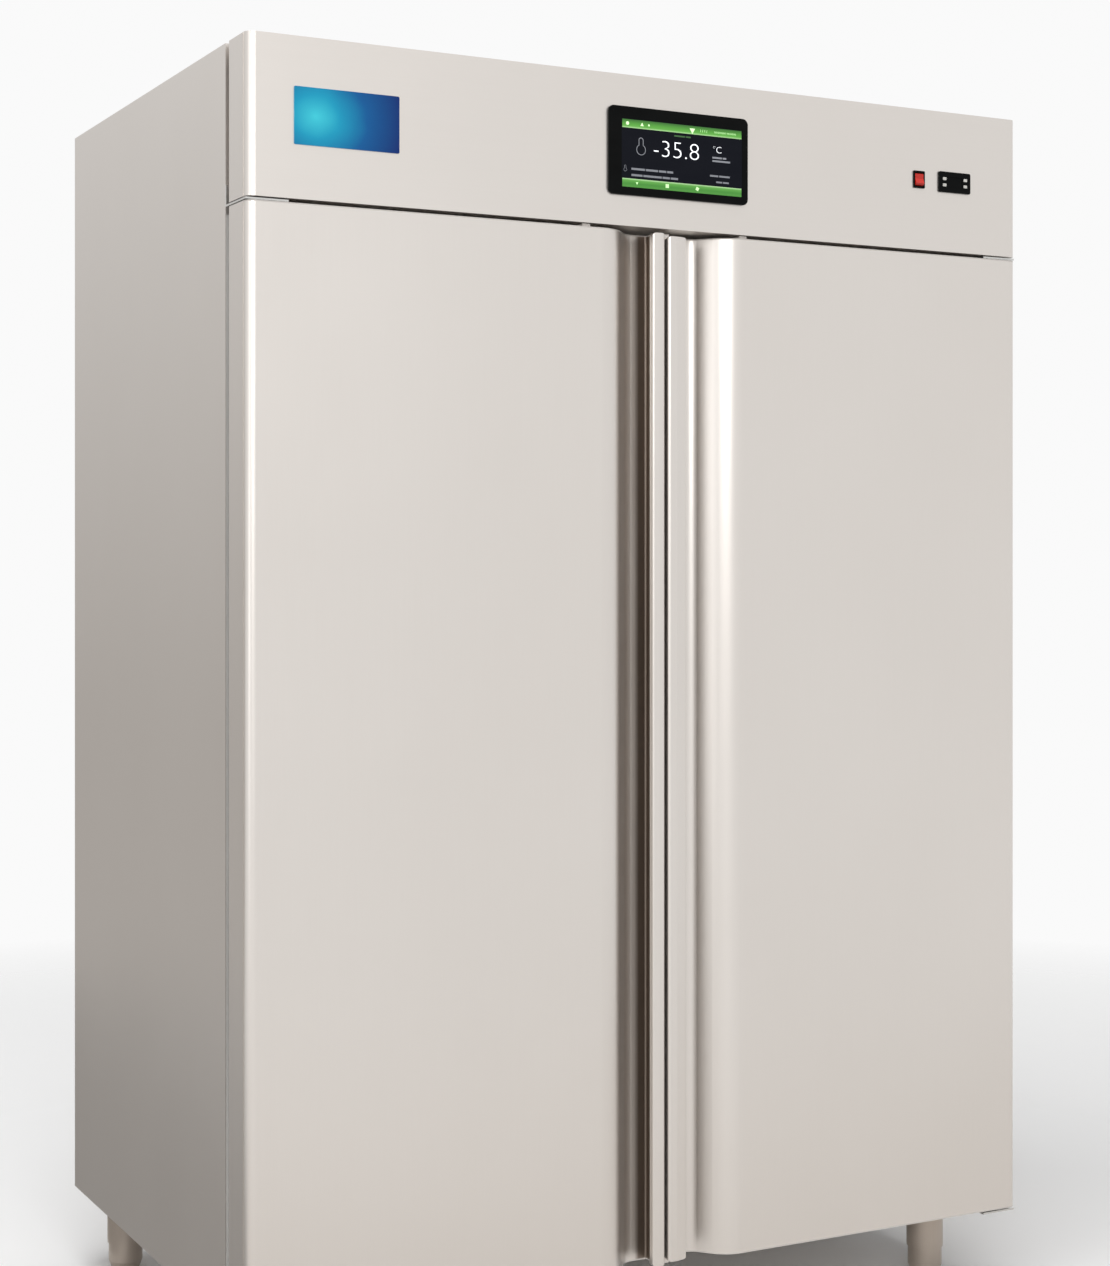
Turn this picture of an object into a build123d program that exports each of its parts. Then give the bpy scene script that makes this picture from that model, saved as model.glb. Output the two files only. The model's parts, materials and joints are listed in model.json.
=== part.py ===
from build123d import *
import math
import os

# A double-door upright laboratory freezer, in millimetres. X runs to the right, Y from front to
# back and Z up from the floor. The doors face -Y.

# Insulated cabinet
cabinet_width = 1440.0
door_face_to_back = 940.0
control_proud = 5.0
leg_height = 140.0
cabinet_height = 1684.0
machine_height = 259.0
side_insulation = 80.0
back_insulation = 85.0
floor_insulation = 80.0
roof_insulation = 80.0
casing_sheet = 1.2
liner_sheet = 1.0
front_frame_sheet = 3.0
mullion_width = 90.0
mullion_depth = 75.0
mullion_corner = 6.0

# Doors and fascia
door_depth = 79.0
gasket_gap = 16.0
door_below_seat = 10.0
door_above_cabinet = 9.0
fascia_gap = 6.0
door_gap = 6.0
skin_sheet = 1.2
edge_radius = 14.0
cap_sheet = 2.0
seam_width = 3.0
seam_depth = 0.8

# Pulls at the meeting edges
lip_thickness = 14.0
neck_width = 9.0
groove_depth = 48.0
groove_start_radius = 60.0
groove_floor_radius = 22.0
groove_neck_radius = 4.0
lip_corner = 5.0
lip_end_radius = 6.0
lip_seam_radius = 0.5
lip_crown_radius = 10.0
lip_tip_radius = 3.5
lip_crown_share = 0.45
left_lip_width = 23.0
left_lip_fall = 1.0
left_lip_trim = 1.0
left_groove_reach = 92.0
left_groove_slope = 40.0
right_lip_width = 37.0
right_lip_fall = 5.0
right_lip_trim = 5.0
right_groove_reach = 116.0
right_groove_slope = 42.0

# Door inner side
gasket_inset = 22.0
gasket_meeting_inset = 17.0
gasket_width = 20.0
gasket_bellows_width = 12.0
gasket_base_depth = 4.0
gasket_head_depth = 5.0
plug_margin = 6.0
plug_depth = 11.0
plug_sheet = 1.5
plug_draft = 25.0

# Door hinges
hinge_inset = 22.0
hinge_pin_radius = 5.0
hinge_pin_length = 18.0
hinge_boss_radius = 12.0
hinge_boss_depth = 24.0
hinge_plate = 3.0
hinge_plate_width = 68.0
hinge_plate_front = 6.0
hinge_flange_height = 30.0
hinge_collar_radius = 9.0
door_block_width = 14.0
door_block_depth = 28.0
door_block_height = 4.7
door_block_setback = 3.0
door_block_offset = 148.0

# Clearances
pin_gap = 0.05
seat_gap = 0.3
side_gap = 1.0
overrun = 1.0

# Legs and levelling feet
leg_inset_side = 75.0
leg_inset_end = 72.0
leg_radius = 33.0
leg_wall = 2.0
leg_tube_end = 52.0
leg_flange = 104.0
leg_flange_sheet = 4.0
leg_flange_corner = 8.0
foot_stem_depth = 45.0
foot_taper = 15.0
foot_toe_radius = 25.0
foot_collar_height = 4.0

# Fascia hinges
fascia_hinge_inset = 160.0
fascia_hinge_drop = 6.0
fascia_knuckle_radius = 5.0
fascia_knuckle_length = 30.0
fascia_pin_radius = 2.5
fascia_ear = 4.0
fascia_bracket_sheet = 2.0
fascia_bracket_height = 26.0
fascia_flange = 15.0

# What sits on the fascia, placed from its ends or its centre and from its lower edge
plate_inset = 159.5
plate_rise = 125.0
plate_width = 171.0
plate_height = 87.0
plate_sheet = 1.5
plate_corner = 2.0
screen_x = 21.0
screen_rise = 120.5
bezel_width = 264.0
bezel_height = 143.0
bezel_proud = 4.0
bezel_corner = 10.0
bezel_body_margin = 12.0
bezel_body_depth = 25.0
body_corner = 2.0
small_corner = 1.0
display_width = 229.0
display_height = 110.0
display_shift_x = 6.5
display_shift_z = -3.5
display_glass = 2.5
display_sink = 0.5
rocker_inset = 214.0
rocker_rise = 121.5
rocker_bezel_width = 24.0
rocker_bezel_height = 30.0
rocker_bezel_proud = 2.0
rocker_bezel_rim = 3.0
rocker_body_depth = 20.0
rocker_swing_radius = 11.4
rocker_notch = 6.4
rocker_tilt = 10.0
controller_inset = 138.0
controller_rise = 121.5
controller_width = 68.0
controller_height = 36.0
controller_proud = 3.0
controller_corner = 3.0
controller_body_margin = 3.0
controller_body_depth = 55.0
controller_window_width = 32.0
controller_window_height = 18.0
controller_window_sink = 0.8
key_width = 7.0
key_height = 5.0
key_thickness = 2.6
key_corner = 0.8
key_proud = 0.9
key_travel = 0.8
key_column = 22.5
key_row = 5.5

# Shelving
pilaster_width = 30.0
pilaster_depth = 12.0
pilaster_wall = 1.5
post_width = 30.0
slot_pitch = 110.0
slot_width = 12.0
slot_height = 5.0
shelf_levels = 3
runner_width = 18.0
runner_height = 26.0
runner_sheet = 1.5
shelf_rod_radius = 4.0
shelf_wire_radius = 2.0
shelf_wire_sink = 1.0
shelf_cross_radius = 3.0
shelf_cross_rods = 1
shelf_back_gap = 35.0
shelf_corner = 20.0
shelf_wires = 12
shelf_setback = 10.0

# Evaporator under the chamber's ceiling
evaporator_height = 184.0
evaporator_side_gap = 80.0
evaporator_depth = 347.5
evaporator_sheet = 1.2
evaporator_flange = 15.0
evaporator_fan_radius = 68.0
evaporator_ring_radius = 74.0
evaporator_fan_depth = 26.0
evaporator_hub_radius = 22.0
evaporator_arm_angles = (90, 210, 330)
fan_guard_gap = 5.0
guard_bar = 8.0
guard_inner_ring = 44.0
guard_outer_ring = 50.0
evaporator_motor_radius = 32.0
evaporator_motor_length = 48.0
evaporator_coil_side_gap = 60.0
evaporator_coil_setback = 110.0
evaporator_coil_depth = 180.0
evaporator_coil_lift = 26.0
evaporator_coil_drop = 14.0
evaporator_fin_count = 49
evaporator_rows = 3
evaporator_columns = 4
evaporator_aisle = 32.0
drip_tray_rim = 16.0
drip_spout_radius = 11.0
drip_spout_wall = 2.0
drip_spout_setback = 22.0
drip_spout_x = 120.0

# Machine compartment
flange_width = 25.0
front_rail_low = 50.0
front_rail_high = 40.0
top_flange = 20.0
back_recess = 14.0
back_opening_margin = 130.0
back_opening_low = 36.0
back_opening_high = 33.0
grille_lap = 20.0
grille_rows = 8
grille_columns = 3
grille_slot_height = 8.0
grille_bridge = 30.0
tray_left_gap = 120.0
tray_right_gap = 340.0
tray_setback = 27.5
tray_depth = 635.0
tray_sheet = 2.0
tray_rim = 18.0
pipe_hole_offset = 310.0
pipe_hole_setback = 35.5
pipe_hole_radius = 20.0

# Condensing unit, placed from its tray's right and front edges
unit_inset = 440.0
condenser_width = 400.0
condenser_height = 216.0
condenser_thickness = 80.0
condenser_setback = 10.0
condenser_fin_count = 39
condenser_rows = 5
condenser_columns = 2
condenser_plate = 2.0
fin_sheet = 1.0
fin_lip = 9.0
coil_tube_radius = 5.0
coil_tube_end = 10.0
shroud_depth = 34.0
shroud_sheet = 1.5
shroud_ring_radius = 100.0
shroud_ring_depth = 12.0
condenser_fan_radius = 94.0
condenser_fan_depth = 30.0
condenser_hub_radius = 26.0
condenser_arm_angles = (45, 135, 225, 315)
condenser_motor_radius = 40.0
condenser_motor_length = 66.0
motor_arm_radius = 4.0
motor_post_radius = 6.0
motor_arm_setback = 22.0
motor_gap = 4.0
motor_edge = 5.0
fan_shaft_radius = 4.0
fan_shaft_grip = 13.0
fan_hub_edge = 5.0
fan_blades = 5
blade_thickness = 2.0
blade_root_sink = 7.0
blade_root_pitch = 52.0
blade_root_fill = 0.92
blade_tip_pitch = 28.0
blade_tip_fill = 0.8
compressor_setback = 455.0
compressor_radius = 92.0
compressor_height = 186.0
compressor_base_inset = 18.0
compressor_base_rise = 32.0
compressor_crown_inset = 37.0
compressor_crown_drop = 46.0
compressor_radii = (11.0, 18.0, 37.0, 28.0)
compressor_seam = 6.0
compressor_seam_rise = 97.0
compressor_foot_span = 150.0
compressor_foot_radius = 16.0
compressor_foot_sheet = 3.0
compressor_bridge = 102.0
terminal_box_proud = 22.0
terminal_box_sink = 14.0
terminal_box_width = 68.0
terminal_box_height = 56.0
terminal_box_drop = 12.0
mount_height = 22.0
mount_radius = 13.0
mount_waist = 4.4
mount_waist_sink = 3.0
receiver_offset = 275.0
receiver_setback = 405.0
receiver_radius = 52.0
receiver_height = 170.0
receiver_edge = 21.0
receiver_skirt_radius = 39.0
receiver_entry_rise = 50.0
receiver_foot_height = 14.0
receiver_stub = 12.0
receiver_stub_radius = 9.0
drier_offset = 370.0
drier_radius = 17.0
drier_length = 96.0
drier_edge = 7.5
drier_foot_width = 20.0
drier_foot_length = 12.0
drier_setback = 265.0
drier_height = 70.0
pipe_radius = 5.0
suction_radius = 8.0
pipe_bend = 22.0
pipe_aisle = 46.0
pipe_loop = 30.0
pipe_hole_approach = 90.0
discharge_run = 120.0
discharge_rise = 78.0
suction_rise = 134.0
box_side_gap = 80.0
box_width = 210.0
box_setback = 72.5
box_depth = 170.0
box_height = 150.0
box_lid = 3.0
box_lid_lip = 4.0
box_corner = 6.0
gland_inset = 60.0
gland_rise = 70.0
gland_bore = 5.0
gland_thread_radius = 10.0
gland_nut_radius = 15.0
gland_nut_depth = 5.0
gland_dome_depth = 7.0
gland_dome_radius = 12.0
gland_dome_edge = 3.0
gland_thread_length = 12.0

# Places worked out from the dimensions
half_width = cabinet_width / 2
face_y = (control_proud - door_face_to_back) / 2
back_y = face_y + door_face_to_back
door_back_y = face_y + door_depth
cabinet_front_y = door_back_y + gasket_gap
cabinet_bottom = leg_height
cabinet_top = cabinet_bottom + cabinet_height
door_bottom = cabinet_bottom + door_below_seat
door_top = cabinet_top + door_above_cabinet
fascia_bottom = door_top + fascia_gap
overall_top = cabinet_top + machine_height
chamber_half = half_width - side_insulation
chamber_front_y = cabinet_front_y + front_frame_sheet
chamber_back_y = back_y - back_insulation
chamber_floor = cabinet_bottom + floor_insulation
chamber_ceiling = cabinet_top - roof_insulation
mullion_back_y = cabinet_front_y + mullion_depth
hinge_x = half_width - hinge_inset
hinge_y = face_y + hinge_inset
fascia_hinge_y = door_back_y + gasket_gap / 2
fascia_hinge_z = overall_top - fascia_hinge_drop
evaporator_bottom = chamber_ceiling - evaporator_height
evaporator_front = chamber_back_y - evaporator_depth
evaporator_half = chamber_half - evaporator_side_gap
evaporator_fan_x = evaporator_half / 2
shelf_pitch = (evaporator_bottom - chamber_floor) / (shelf_levels + 1)
post_half = post_width / 2
unit_floor = cabinet_top + tray_sheet
tray_left = tray_left_gap - half_width
tray_right = half_width - tray_right_gap
tray_front = cabinet_front_y + tray_setback
unit_x = tray_right - unit_inset
condenser_front = tray_front + condenser_setback
compressor_y = tray_front + compressor_setback
receiver_x = unit_x + receiver_offset
receiver_y = tray_front + receiver_setback
drier_x = unit_x + drier_offset
drier_y = tray_front + drier_setback
pipe_hole_x = unit_x + pipe_hole_offset
pipe_hole_y = chamber_back_y - pipe_hole_setback
box_left = half_width - box_side_gap - box_width
box_front = cabinet_front_y + box_setback
gland_x = half_width - gland_inset
fascia_hinge_x = half_width - fascia_hinge_inset
plate_x = plate_inset - half_width
rocker_x = half_width - rocker_inset
controller_x = half_width - controller_inset
condenser_grid = (condenser_rows, condenser_columns)
evaporator_grid = (evaporator_rows, evaporator_columns)
meeting_x = door_gap / 2


def block(x, y, z):
    """A box between two values of X, two of Y and two of Z."""
    corner = (Align.MIN, Align.MIN, Align.MIN)
    return Pos(x[0], y[0], z[0]) * Box(x[1] - x[0], y[1] - y[0], z[1] - z[0], align=corner)


def rod(start, end, radius):
    """A round bar from one point to another."""
    run = Vector(end) - Vector(start)
    stand = (Align.CENTER, Align.CENTER, Align.MIN)
    return Plane(origin=start, z_dir=run) * Cylinder(radius, run.length, align=stand)


def plan_face(corners, radii):
    """A closed outline in X and Y with a radius at each corner."""
    return make_face(FilletPolyline(*corners, radius=radii, close=True).edges())


def rise(face, z):
    """A plan outline raised between two heights."""
    return Pos(0, 0, z[0]) * extrude(face, z[1] - z[0])


def front_plate(x, z, width, height, y, corner):
    """A plate with rounded corners in the front view, between two depths."""
    outline = Plane.XZ.offset(-y[0]) * Pos(x, z) * RectangleRounded(width, height, corner)
    return extrude(outline, -(y[1] - y[0]))


def pipe(points, radius, bend):
    """A tube of straight runs and tangent bends."""
    path = FilletPolyline(*points, radius=bend)
    section = Plane(origin=path @ 0, z_dir=path % 0) * Circle(radius)
    return sweep(section, path=path)


def group(*pieces):
    """Separate solids kept together in one node."""
    return Compound([solid for piece in pieces for solid in piece.solids()])


def both_sides(piece):
    """A piece and its mirror image across the middle of the cabinet."""
    return group(piece, mirror(piece, about=Plane.YZ))


def blade_section(radius, depth, pitch, fill):
    """A fan blade's section at a radius, turned out of the fan's plane by its pitch."""
    chord = depth * fill / math.sin(math.radians(pitch))
    place = Plane.YZ.offset(radius) * Pos(0, depth / 2) * Rot(0, 0, pitch)
    return place * Rectangle(chord, blade_thickness)


def fan(centre, hub_radius, tip_radius, depth):
    """An axial fan about Y: a rounded hub with twisted blades, bored from behind for a shaft."""
    hub = rod((0, 0, 0), (0, 0, depth), hub_radius)
    hub = fillet(hub.edges().filter_by(GeomType.CIRCLE).group_by(Axis.Z)[0], fan_hub_edge)
    root = blade_section(hub_radius - blade_root_sink, depth, blade_root_pitch, blade_root_fill)
    tip = blade_section(tip_radius, depth, blade_tip_pitch, blade_tip_fill)
    blade = loft([root, tip]) & rod((0, 0, 0), (0, 0, depth), tip_radius)
    wheel = hub
    for number in range(fan_blades):
        wheel = wheel + Rot(0, 0, number * 360 / fan_blades) * blade
    bore_start = depth - fan_shaft_grip - side_gap
    bore = rod((0, 0, bore_start), (0, 0, depth + overrun), fan_shaft_radius + pin_gap)
    return Pos(*centre) * Rot(-90, 0, 0) * (wheel - bore)


def fan_motor(place, depth, radius, length, seat_y, reach, angles):
    """A motor behind a fan, held by arms on posts that stand on a face at seat_y."""
    x, y, z = place
    front = y + depth + motor_gap
    can = rod((x, front, z), (x, front + length, z), radius)
    can = fillet(can.edges().filter_by(GeomType.CIRCLE), motor_edge)
    can = can + rod((x, y + depth - fan_shaft_grip, z), (x, front, z), fan_shaft_radius)
    arm_y = front + motor_arm_setback
    post_end = arm_y + motor_post_radius
    for angle in angles:
        post_x = x + math.cos(math.radians(angle)) * reach
        post_z = z + math.sin(math.radians(angle)) * reach
        can = can + rod((x, arm_y, z), (post_x, arm_y, post_z), motor_arm_radius)
        can = can + rod((post_x, seat_y, post_z), (post_x, post_end, post_z), motor_post_radius)
    return can


# Cabinet


def outer_casing():
    shell = block((-half_width, half_width), (cabinet_front_y, back_y), (cabinet_bottom, cabinet_top))
    inner = half_width - casing_sheet
    room = block(
        (-inner, inner),
        (cabinet_front_y - casing_sheet, back_y - casing_sheet),
        (cabinet_bottom + casing_sheet, cabinet_top - casing_sheet),
    )
    return shell - room - pipe_hole()


def pipe_hole():
    return rod(
        (pipe_hole_x, pipe_hole_y, chamber_ceiling - casing_sheet),
        (pipe_hole_x, pipe_hole_y, cabinet_top + casing_sheet),
        pipe_hole_radius,
    )


def foam_insulation():
    inner = half_width - casing_sheet
    filling = block(
        (-inner, inner),
        (chamber_front_y, back_y - casing_sheet),
        (cabinet_bottom + casing_sheet, cabinet_top - casing_sheet),
    )
    lined = chamber_half + liner_sheet
    chamber = block(
        (-lined, lined),
        (chamber_front_y - overrun, chamber_back_y + liner_sheet),
        (chamber_floor - liner_sheet, chamber_ceiling + liner_sheet),
    )
    return filling - chamber - pipe_hole()


def inner_liner():
    lined = chamber_half + liner_sheet
    tub = block(
        (-lined, lined),
        (chamber_front_y, chamber_back_y + liner_sheet),
        (chamber_floor - liner_sheet, chamber_ceiling + liner_sheet),
    )
    room = block(
        (-chamber_half, chamber_half),
        (chamber_front_y - overrun, chamber_back_y),
        (chamber_floor, chamber_ceiling),
    )
    return tub - room - pipe_hole()


def front_frame():
    inner = half_width - casing_sheet
    plate = block(
        (-inner, inner),
        (cabinet_front_y, chamber_front_y),
        (cabinet_bottom + casing_sheet, cabinet_top - casing_sheet),
    )
    window = block(
        (-chamber_half, chamber_half),
        (cabinet_front_y - overrun, chamber_front_y + overrun),
        (chamber_floor, chamber_ceiling),
    )
    return plate - window


def center_mullion():
    half = mullion_width / 2
    post = block((-half, half), (cabinet_front_y, mullion_back_y), (chamber_floor, chamber_ceiling))
    return fillet(post.edges().filter_by(Axis.Z), mullion_corner)


# Legs


def leg_places():
    x = half_width - leg_inset_side
    front = cabinet_front_y + leg_inset_end
    back = back_y - leg_inset_end
    return {
        "front_left_foot": (-x, front),
        "front_right_foot": (x, front),
        "rear_left_foot": (-x, back),
        "rear_right_foot": (x, back),
    }


def leg_flange_plate():
    return extrude(RectangleRounded(leg_flange, leg_flange, leg_flange_corner), leg_flange_sheet)


def leg_tubes():
    tubes = []
    for x, y in leg_places().values():
        flange_low = cabinet_bottom - leg_flange_sheet
        tube = rod((x, y, leg_tube_end), (x, y, flange_low), leg_radius)
        tube = tube - rod((x, y, leg_tube_end - overrun), (x, y, flange_low), leg_radius - leg_wall)
        flange = Pos(x, y, flange_low) * leg_flange_plate()
        tubes.append(tube + flange)
    return group(*tubes)


def levelling_foot(x, y):
    radius = leg_radius - leg_wall - seat_gap
    profile = make_face(
        Polyline(
            (0, 0),
            (foot_toe_radius, 0),
            (radius, foot_taper),
            (radius, leg_tube_end + foot_stem_depth),
            (0, leg_tube_end + foot_stem_depth),
            close=True,
        ).edges()
    )
    body = revolve(Plane.XZ * profile, Axis.Z)
    collar = rod((0, 0, leg_tube_end - foot_collar_height), (0, 0, leg_tube_end), leg_radius - seat_gap)
    return Pos(x, y, 0) * (body + collar)


# Shelving


def pilaster_fronts():
    """The Y of the front face of the front and the rear pilasters."""
    return (mullion_back_y, chamber_back_y - pilaster_width)


def slots(x, y, low, high):
    cuts = []
    count = int((high - low) / slot_pitch)
    for number in range(1, count):
        z = low + number * slot_pitch
        cuts.append(block(x, y, (z, z + slot_height)))
    return cuts


def shelf_pilasters():
    pieces = []
    for y in pilaster_fronts():
        high = chamber_ceiling if y == mullion_back_y else evaporator_bottom - side_gap
        slot_y = (y + (pilaster_width - slot_width) / 2, y + (pilaster_width + slot_width) / 2)
        inner_x = -chamber_half + pilaster_depth
        strip = block((-chamber_half, inner_x), (y, y + pilaster_width), (chamber_floor, high))
        strip = strip - block(
            (-chamber_half - overrun, inner_x - pilaster_wall),
            (y + pilaster_wall, y + pilaster_width - pilaster_wall),
            (chamber_floor - overrun, high + overrun),
        )
        wall = (inner_x - pilaster_wall - overrun, inner_x + overrun)
        for cut in slots(wall, slot_y, chamber_floor, high):
            strip = strip - cut
        post = block((-post_half, post_half), (y, y + pilaster_width), (chamber_floor, high))
        hollow = post_half - pilaster_wall
        post = post - block(
            (-hollow, hollow),
            (y + pilaster_wall, y + pilaster_width - pilaster_wall),
            (chamber_floor - overrun, high + overrun),
        )
        for cut in slots((-post_half - overrun, post_half + overrun), slot_y, chamber_floor, high):
            post = post - cut
        pieces += [both_sides(strip), post]
    return group(*pieces)


def shelf_heights():
    return [chamber_floor + shelf_pitch * level for level in range(1, shelf_levels + 1)]


def shelf_runners():
    runners = []
    for z in shelf_heights():
        seat = z - shelf_rod_radius
        for wall_x, inward in ((-chamber_half + pilaster_depth, 1), (-post_half, -1)):
            upright = sorted((wall_x, wall_x + inward * runner_sheet))
            ledge = sorted((wall_x, wall_x + inward * runner_width))
            length = (mullion_back_y, chamber_back_y)
            angle = block(upright, length, (seat - runner_sheet, seat + runner_height))
            angle = angle + block(ledge, length, (seat - runner_sheet, seat))
            runners.append(both_sides(angle))
    return group(*runners)


def wire_shelf():
    """One shelf of the left column, its frame rods on the height Z 0."""
    left = -chamber_half + pilaster_depth + runner_sheet + side_gap + shelf_rod_radius
    right = -post_half - runner_sheet - side_gap - shelf_rod_radius
    front = mullion_back_y + shelf_setback + shelf_rod_radius
    back = chamber_back_y - shelf_back_gap - shelf_rod_radius
    rectangle = RectangleRounded(right - left, back - front, shelf_corner)
    path = (Pos((left + right) / 2, (front + back) / 2) * rectangle).wire()
    shelf = sweep(Plane(origin=path @ 0, z_dir=path % 0) * Circle(shelf_rod_radius), path=path)
    bars = []
    for number in range(1, shelf_cross_rods + 1):
        y = front + (back - front) * number / (shelf_cross_rods + 1)
        bars.append(rod((left, y, 0), (right, y, 0), shelf_cross_radius))
    height = shelf_cross_radius + shelf_wire_radius - shelf_wire_sink
    for number in range(1, shelf_wires + 1):
        x = left + (right - left) * number / (shelf_wires + 1)
        bars.append(rod((x, front - overrun, height), (x, back + overrun, height), shelf_wire_radius))
    return shelf + bars


def column_shelves(shelf):
    return group(*[Pos(0, 0, z) * shelf for z in shelf_heights()])


# Evaporator


def fan_grille(x, z, y):
    """The openings of a pressed fan guard: two rings of curved slots."""
    thick = guard_bar
    bar = Box(2 * evaporator_ring_radius + guard_bar, guard_bar, 2 * thick)
    cross = [Rot(0, 0, angle) * bar for angle in (45, 135)]
    cuts = []
    rings = ((evaporator_hub_radius, guard_inner_ring), (guard_outer_ring, evaporator_ring_radius))
    for inner, outer in rings:
        ring = Cylinder(outer, thick) - Cylinder(inner, thick) - cross
        cuts.append(Pos(x, y, z) * Rot(90, 0, 0) * ring)
    return cuts


def evaporator_cover():
    half = evaporator_half
    back = chamber_back_y
    shell = block((-half, half), (evaporator_front, back), (evaporator_bottom, chamber_ceiling))
    inner = half - evaporator_sheet
    shell = shell - block(
        (-inner, inner),
        (evaporator_front + evaporator_sheet, back + overrun),
        (evaporator_bottom - overrun, chamber_ceiling + overrun),
    )
    centre_z = (evaporator_bottom + chamber_ceiling) / 2
    for x in (-evaporator_fan_x, evaporator_fan_x):
        for cut in fan_grille(x, centre_z, evaporator_front):
            shell = shell - cut
    flange = block(
        (-inner, inner),
        (evaporator_front + evaporator_sheet, evaporator_front + evaporator_flange),
        (chamber_ceiling - evaporator_sheet, chamber_ceiling),
    )
    return shell + flange


def evaporator_fan_places():
    z = (evaporator_bottom + chamber_ceiling) / 2
    y = evaporator_front + evaporator_sheet + fan_guard_gap
    return {
        "left_evaporator_fan": (-evaporator_fan_x, y, z),
        "right_evaporator_fan": (evaporator_fan_x, y, z),
    }


def evaporator_fan_motors():
    size = (evaporator_fan_depth, evaporator_motor_radius, evaporator_motor_length)
    seat_y = evaporator_front + evaporator_sheet
    reach = evaporator_ring_radius + motor_post_radius
    motors = []
    for place in evaporator_fan_places().values():
        motors.append(fan_motor(place, *size, seat_y, reach, evaporator_arm_angles))
    return group(*motors)


def tube_place(y, z, grid, row, column):
    """The Y and Z of one tube of a coil's grid of rows and columns."""
    rows, columns = grid
    tube_y = y[0] + (y[1] - y[0]) * (column + 0.5) / columns
    tube_z = z[0] + (z[1] - z[0]) * (row + 0.5) / rows
    return (tube_y, tube_z)


def return_bend(plate_x, outward, first, second):
    """A bend outside an end plate that joins two neighbouring tubes."""
    pitch = math.dist(first, second)
    out_x = plate_x + outward * (pitch / 2 + side_gap)
    points = [(plate_x, *first), (out_x, *first), (out_x, *second), (plate_x, *second)]
    return pipe(points, coil_tube_radius, pitch / 2 - side_gap)


def circuit(grid):
    """The pairs of tubes joined on the left and on the right, so that one path runs through them all."""
    rows, columns = grid
    left = []
    right = []
    for row in range(rows):
        left += [((row, column), (row, column + 1)) for column in range(0, columns - 1, 2)]
        right += [((row, column), (row, column + 1)) for column in range(1, columns - 1, 2)]
    for row in range(rows - 1):
        side = 0 if row % 2 == 0 else columns - 1
        right.append(((row, side), (row + 1, side)))
    return left, right


def finned_block(x, y, z, fins, grid):
    """A coil: fins round a tube bundle between two end plates, with return bends outside them."""
    pieces = []
    for low_x in (x[0], x[1] - condenser_plate):
        pieces.append(block((low_x, low_x + condenser_plate), y, z))
    step = (x[1] - x[0]) / (fins + 1)
    for number in range(1, fins + 1):
        middle = x[0] + number * step
        pieces.append(block((middle - fin_sheet / 2, middle + fin_sheet / 2), y, z))
    coil = block(x, (y[0] + fin_lip, y[1] - fin_lip), (z[0] + fin_lip, z[1] - fin_lip)) + pieces
    left, right = circuit(grid)
    bends = []
    for plate_x, outward, pairs in ((x[0], -1, left), (x[1], 1, right)):
        for first, second in pairs:
            ends = (tube_place(y, z, grid, *first), tube_place(y, z, grid, *second))
            bends.append(return_bend(plate_x, outward, *ends))
    for free in free_tubes(grid):
        place = tube_place(y, z, grid, *free)
        bends.append(rod((x[1], *place), (x[1] + coil_tube_end, *place), coil_tube_radius))
    return coil + bends


def free_tubes(grid):
    """The two tubes at the ends of a coil's path: the lowest and the highest."""
    rows, columns = grid
    last = 0 if rows % 2 == 1 else columns - 1
    return ((0, columns - 1), (rows - 1, last))


def evaporator_coil_box():
    half = evaporator_half - evaporator_coil_side_gap
    front = evaporator_front + evaporator_coil_setback
    y = (front, front + evaporator_coil_depth)
    z = (evaporator_bottom + evaporator_coil_lift, chamber_ceiling - evaporator_coil_drop)
    return (-half, half), y, z


def evaporator_coil():
    x, y, z = evaporator_coil_box()
    coil = finned_block(x, y, z, evaporator_fin_count, evaporator_grid)
    for plate_x in (x[0], x[1] - condenser_plate):
        coil = coil + block((plate_x, plate_x + condenser_plate), y, (z[1], chamber_ceiling))
    return coil


def drip_tray():
    half = evaporator_half - evaporator_sheet
    front = evaporator_front + evaporator_sheet
    low = evaporator_bottom
    high = low + drip_tray_rim
    pan = block((-half, half), (front, chamber_back_y), (low, high))
    pan = pan - block(
        (-half + evaporator_sheet, half - evaporator_sheet),
        (front + evaporator_sheet, chamber_back_y - evaporator_sheet),
        (low + evaporator_sheet, high + overrun),
    )
    spout_y = chamber_back_y - drip_spout_setback
    end = low - drip_tray_rim
    x = drip_spout_x
    spout = rod((x, spout_y, end), (x, spout_y, low + evaporator_sheet), drip_spout_radius)
    bore = drip_spout_radius - drip_spout_wall
    drain = rod((x, spout_y, end - overrun), (x, spout_y, low + 2 * evaporator_sheet), bore)
    return pan + spout - drain


# Machine compartment


def machine_casing():
    back_sheet = back_y - back_recess
    z = (cabinet_top, overall_top)
    shell = block((-half_width, half_width), (cabinet_front_y, back_y), z)
    inner = half_width - casing_sheet
    within = (cabinet_front_y + casing_sheet, back_sheet - casing_sheet)
    room = block((-inner, inner), within, (z[0] - overrun, z[1] + overrun))
    behind = block((-inner, inner), (back_sheet, back_y + overrun), (z[0] - overrun, z[1] + overrun))
    shell = shell - room - behind
    window = half_width - flange_width
    shell = shell - block(
        (-window, window),
        (cabinet_front_y - overrun, cabinet_front_y + casing_sheet + overrun),
        (z[0] + front_rail_low, z[1] - front_rail_high),
    )
    shell = shell - grille_opening(0)
    edge = inner - top_flange
    for low in (z[0], z[1] - casing_sheet):
        ring = block((-inner, inner), within, (low, low + casing_sheet))
        hole = block(
            (-edge, edge),
            (cabinet_front_y + top_flange, back_sheet - top_flange),
            (low - overrun, low + casing_sheet + overrun),
        )
        shell = shell + (ring - hole)
    return shell - gland_hole()


def grille_opening(lap):
    """The opening in the compartment's back sheet, or what covers it with a lap all round."""
    half = half_width - back_opening_margin + lap
    back_sheet = back_y - back_recess
    return block(
        (-half, half),
        (back_sheet - casing_sheet, back_sheet),
        (cabinet_top + back_opening_low - lap, overall_top - back_opening_high + lap),
    )


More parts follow.
